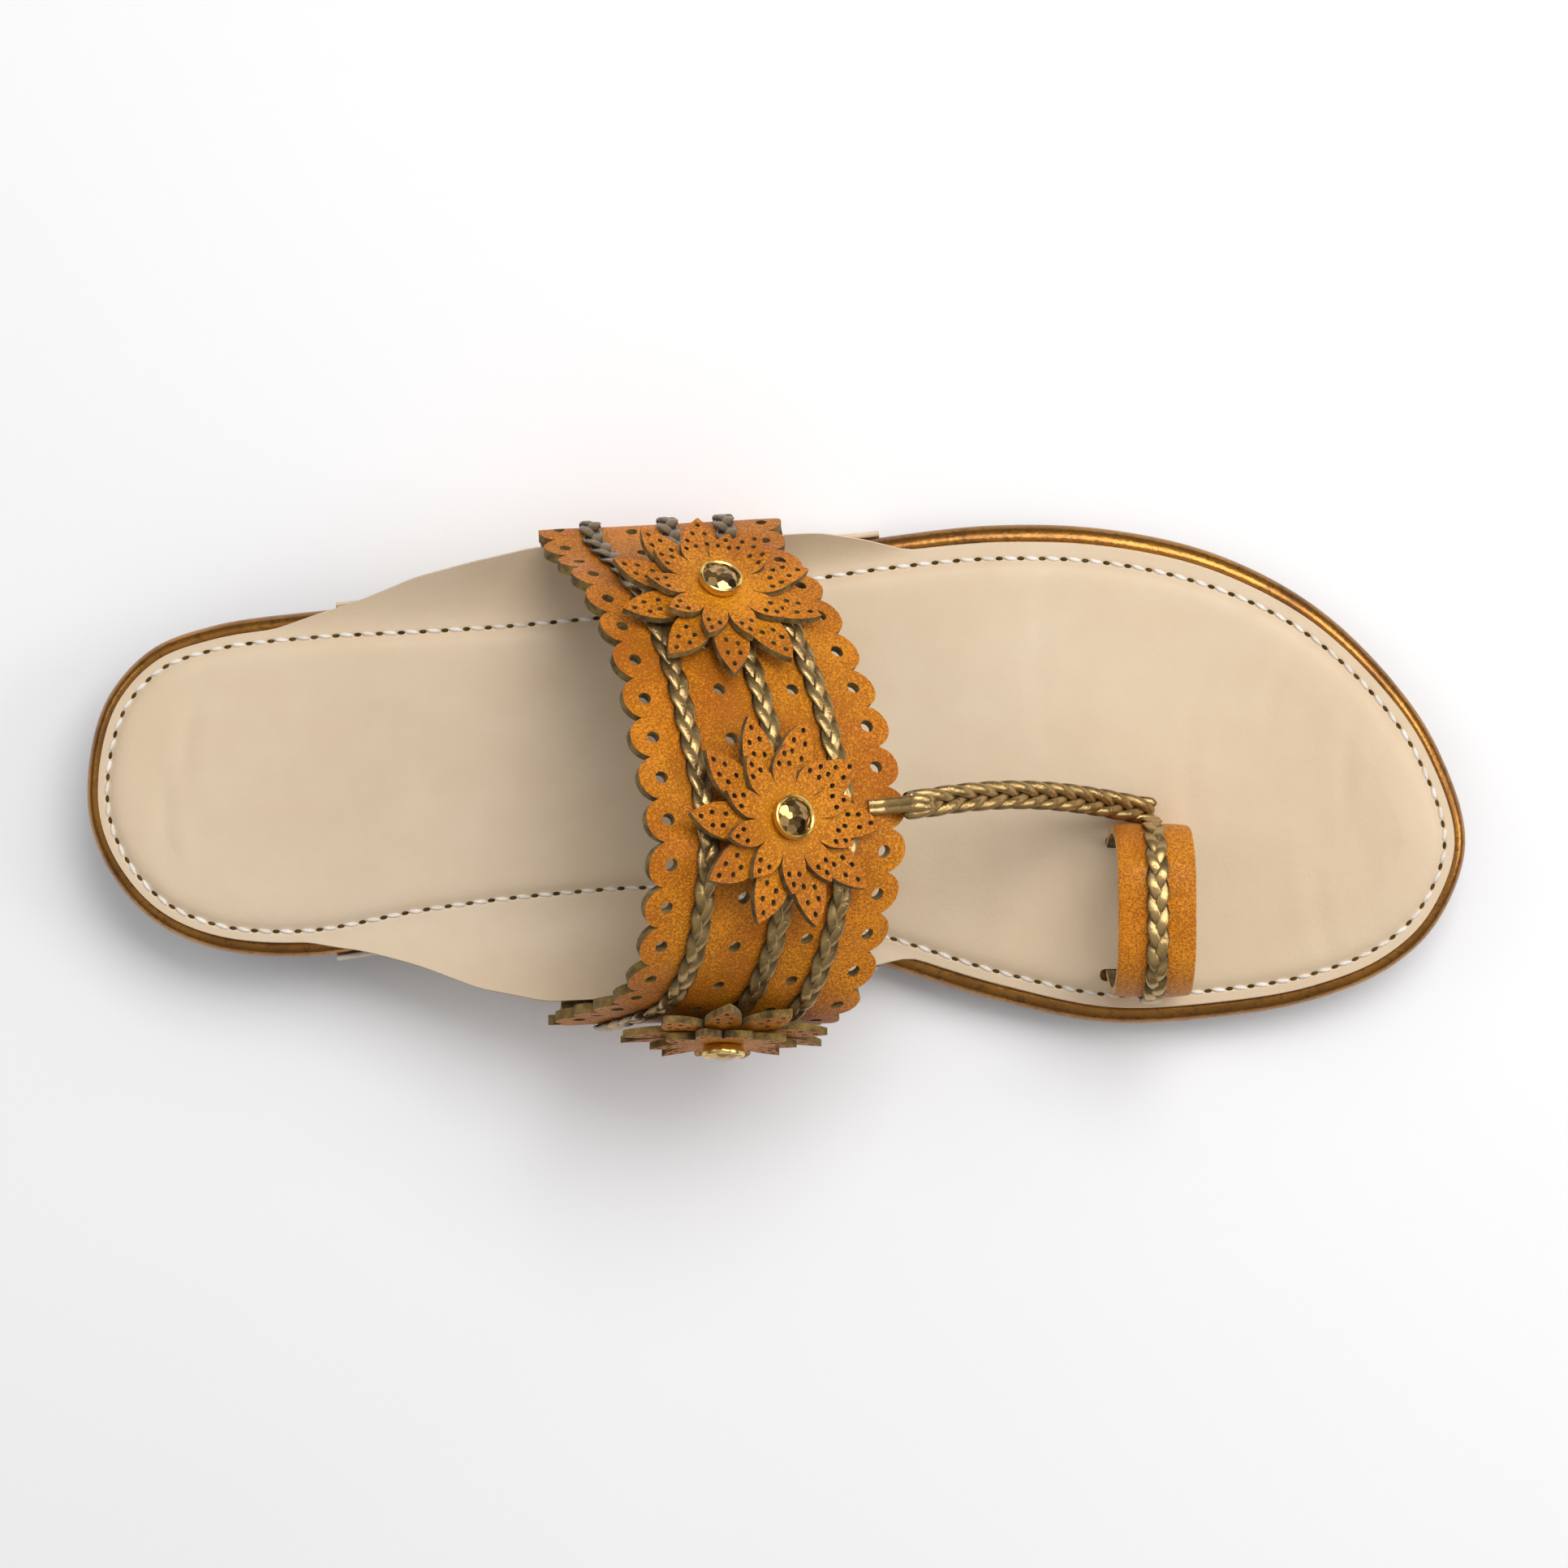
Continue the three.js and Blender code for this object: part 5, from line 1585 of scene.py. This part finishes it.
print("cord length:", round(cord_line.length, 1), "mm")


# %% Cord
CORD_BRAID = {
    "strands": 5, "period": 25.0, "swing": 1.6, "lift": 0.0, "rise": 0.75,
    "ribbon": 1.9, "thick": 1.4,
}


def make_cord():
    centre = cord_line.at(np.linspace(0.02, 1, 420))
    ahead = unit(np.gradient(centre, axis=0))
    across = unit(np.cross(ahead, [0.0, 0.0, 1.0]))
    return make_braid(centre, across, np.cross(across, ahead), **CORD_BRAID)


finished(make_cord(), "braided_toe_cord", [cord_foil], ["toe_cord"], crisp=60)

# %% [markdown]
# ## Toe ring
#
# The ring is a strip of tan leather bent into an arch, with both ends through slots in
# the insole. Its edges are cut, not turned, so they show a pale line, and a flat braid
# runs round its middle.

# %% Line of the ring
ring_rise = RING_HEIGHT - RING_THICKNESS / 2
ring_up = [
    (RING_ALONG, RING_ACROSS + RING_HALF * out, RING_FLOOR + high * ring_rise)
    for out, high in RING_ROWS
]
ring_down = [(x, 2 * RING_ACROSS - y, z) for x, y, z in ring_up[-2::-1]]
ring_feet = [
    (RING_ALONG, RING_ACROSS + side * RING_HALF * RING_ROWS[0][0], RING_FOOT) for side in (1, -1)
]
ring_line = Line(smooth_curve([ring_feet[0], *ring_up, *ring_down, ring_feet[1]], samples=40))
ring_shares = np.linspace(0, 1, 110)
ring_middle = ring_line.at(ring_shares)
ring_ahead = unit(np.gradient(ring_middle, axis=0))
ring_out = unit(np.cross(ring_ahead, [1.0, 0.0, 0.0]))
print("ring length:", round(ring_line.length, 1), "mm")


# %% Ring strap
def make_ring():
    moves = np.concatenate([[-0.5, -0.485], np.linspace(-0.44, 0.44, 12), [0.485, 0.5]])
    shift = np.outer(moves * RING_WIDTH, [1.0, 0.0, 0.0])
    middle = ring_middle[:, None] + shift[None]
    dish = -0.35 * (moves * 2) ** 4
    middle = middle + ring_out[:, None] * dish[None, :, None]
    normal = np.broadcast_to(ring_out[:, None], middle.shape)
    mesh = moved_grid(wall_rows(middle, normal, RING_THICKNESS, soft=0.12))
    centre = Vector((RING_ALONG, RING_ACROSS, RING_FLOOR + 8))
    for face in mesh.faces:
        away = face.calc_center_median() - centre
        away.x = 0
        outside = face.normal.dot(away.normalized()) > 0.3
        cut_edge = abs(face.normal.x) > 0.6
        face.material_index = 2 if cut_edge else (0 if outside else 1)
    return mesh


finished(
    make_ring(), "toe_ring_strap", [tan_ring, suede, pale_edge], ["toe_ring"]
)


# %% Braid round the ring
def make_ring_braid():
    shares = np.linspace(0.12, 0.88, 320)
    centre = ring_line.at(shares)
    ahead = unit(np.gradient(centre, axis=0))
    normal = unit(np.cross(ahead, [1.0, 0.0, 0.0]))
    across = np.broadcast_to([1.0, 0.0, 0.0], centre.shape)
    return make_braid(
        centre + normal * RING_THICKNESS / 2, across, normal, **{**FLAT_BRAID, "period": 12.6}
    )


finished(make_ring_braid(), "toe_ring_braid", [braid_foil], ["ring_braid"], crisp=60)

# %% [markdown]
# ## Floor and light
#
# A pale floor and soft boxes, as for a catalogue picture. The main box hangs over the
# outer side towards the toe, so the band and the ring shade the insole behind them, and
# the floor darkens a little at the heel and along the inner side. The world is dark at
# the horizon and brighter overhead, which gives the metallic leather dark sides.

# %% Floor
FLOOR_REACH = 5.0
FLOOR_PARTS = 40


def make_floor():
    mesh = bmesh.new()
    bmesh.ops.create_grid(
        mesh, x_segments=FLOOR_PARTS, y_segments=FLOOR_PARTS, size=FLOOR_REACH
    )
    data = bpy.data.meshes.new("floor")
    mesh.to_mesh(data)
    mesh.free()
    floor = bpy.data.objects.new("floor", data)
    bpy.context.scene.collection.objects.link(floor)
    data.materials.append(pale_floor.material)


make_floor()

# %% Lights, one row each: name, place, size in metres, power, colour
LIGHTS = [
    ("main_box", (0.3, 0.5, 0.95), (0.8, 0.6), 7.3, (1.0, 0.99, 0.98)),
    ("toe_box", (0.85, 0.05, 0.6), (0.5, 0.4), 2.2, (1.0, 0.99, 0.97)),
    ("heel_box", (-0.8, 0.3, 0.7), (0.4, 0.4), 0.8, (0.97, 0.98, 1.0)),
]


def soft_box(name, place, size, power, colour):
    """A rectangular light that looks at the middle of the shoe."""
    lamp = bpy.data.lights.new(name, "AREA")
    lamp.shape = "RECTANGLE"
    lamp.size, lamp.size_y = size
    lamp.energy = power
    lamp.color = colour
    box = bpy.data.objects.new(name, lamp)
    box.location = place
    box.rotation_euler = (-Vector(place)).to_track_quat("-Z", "Y").to_euler()
    bpy.context.scene.collection.objects.link(box)


for light in LIGHTS:
    soft_box(*light)
print("lights:", [light[0] for light in LIGHTS])

# %% World, brighter overhead
world = bpy.data.worlds.new("studio")
bpy.context.scene.world = world
world.use_nodes = True
sky = world.node_tree
way = add_node(sky, "ShaderNodeTexCoord").outputs["Generated"]
height = add_node(sky, "ShaderNodeSeparateXYZ", {0: way}).outputs["Z"]
fill = ranged(sky, height, 0.05, 0.9, 0.05, 0.54)
sky.links.new(fill, sky.nodes["Background"].inputs["Strength"])
sky.nodes["Background"].inputs["Color"].default_value = (1.0, 1.0, 1.0, 1.0)
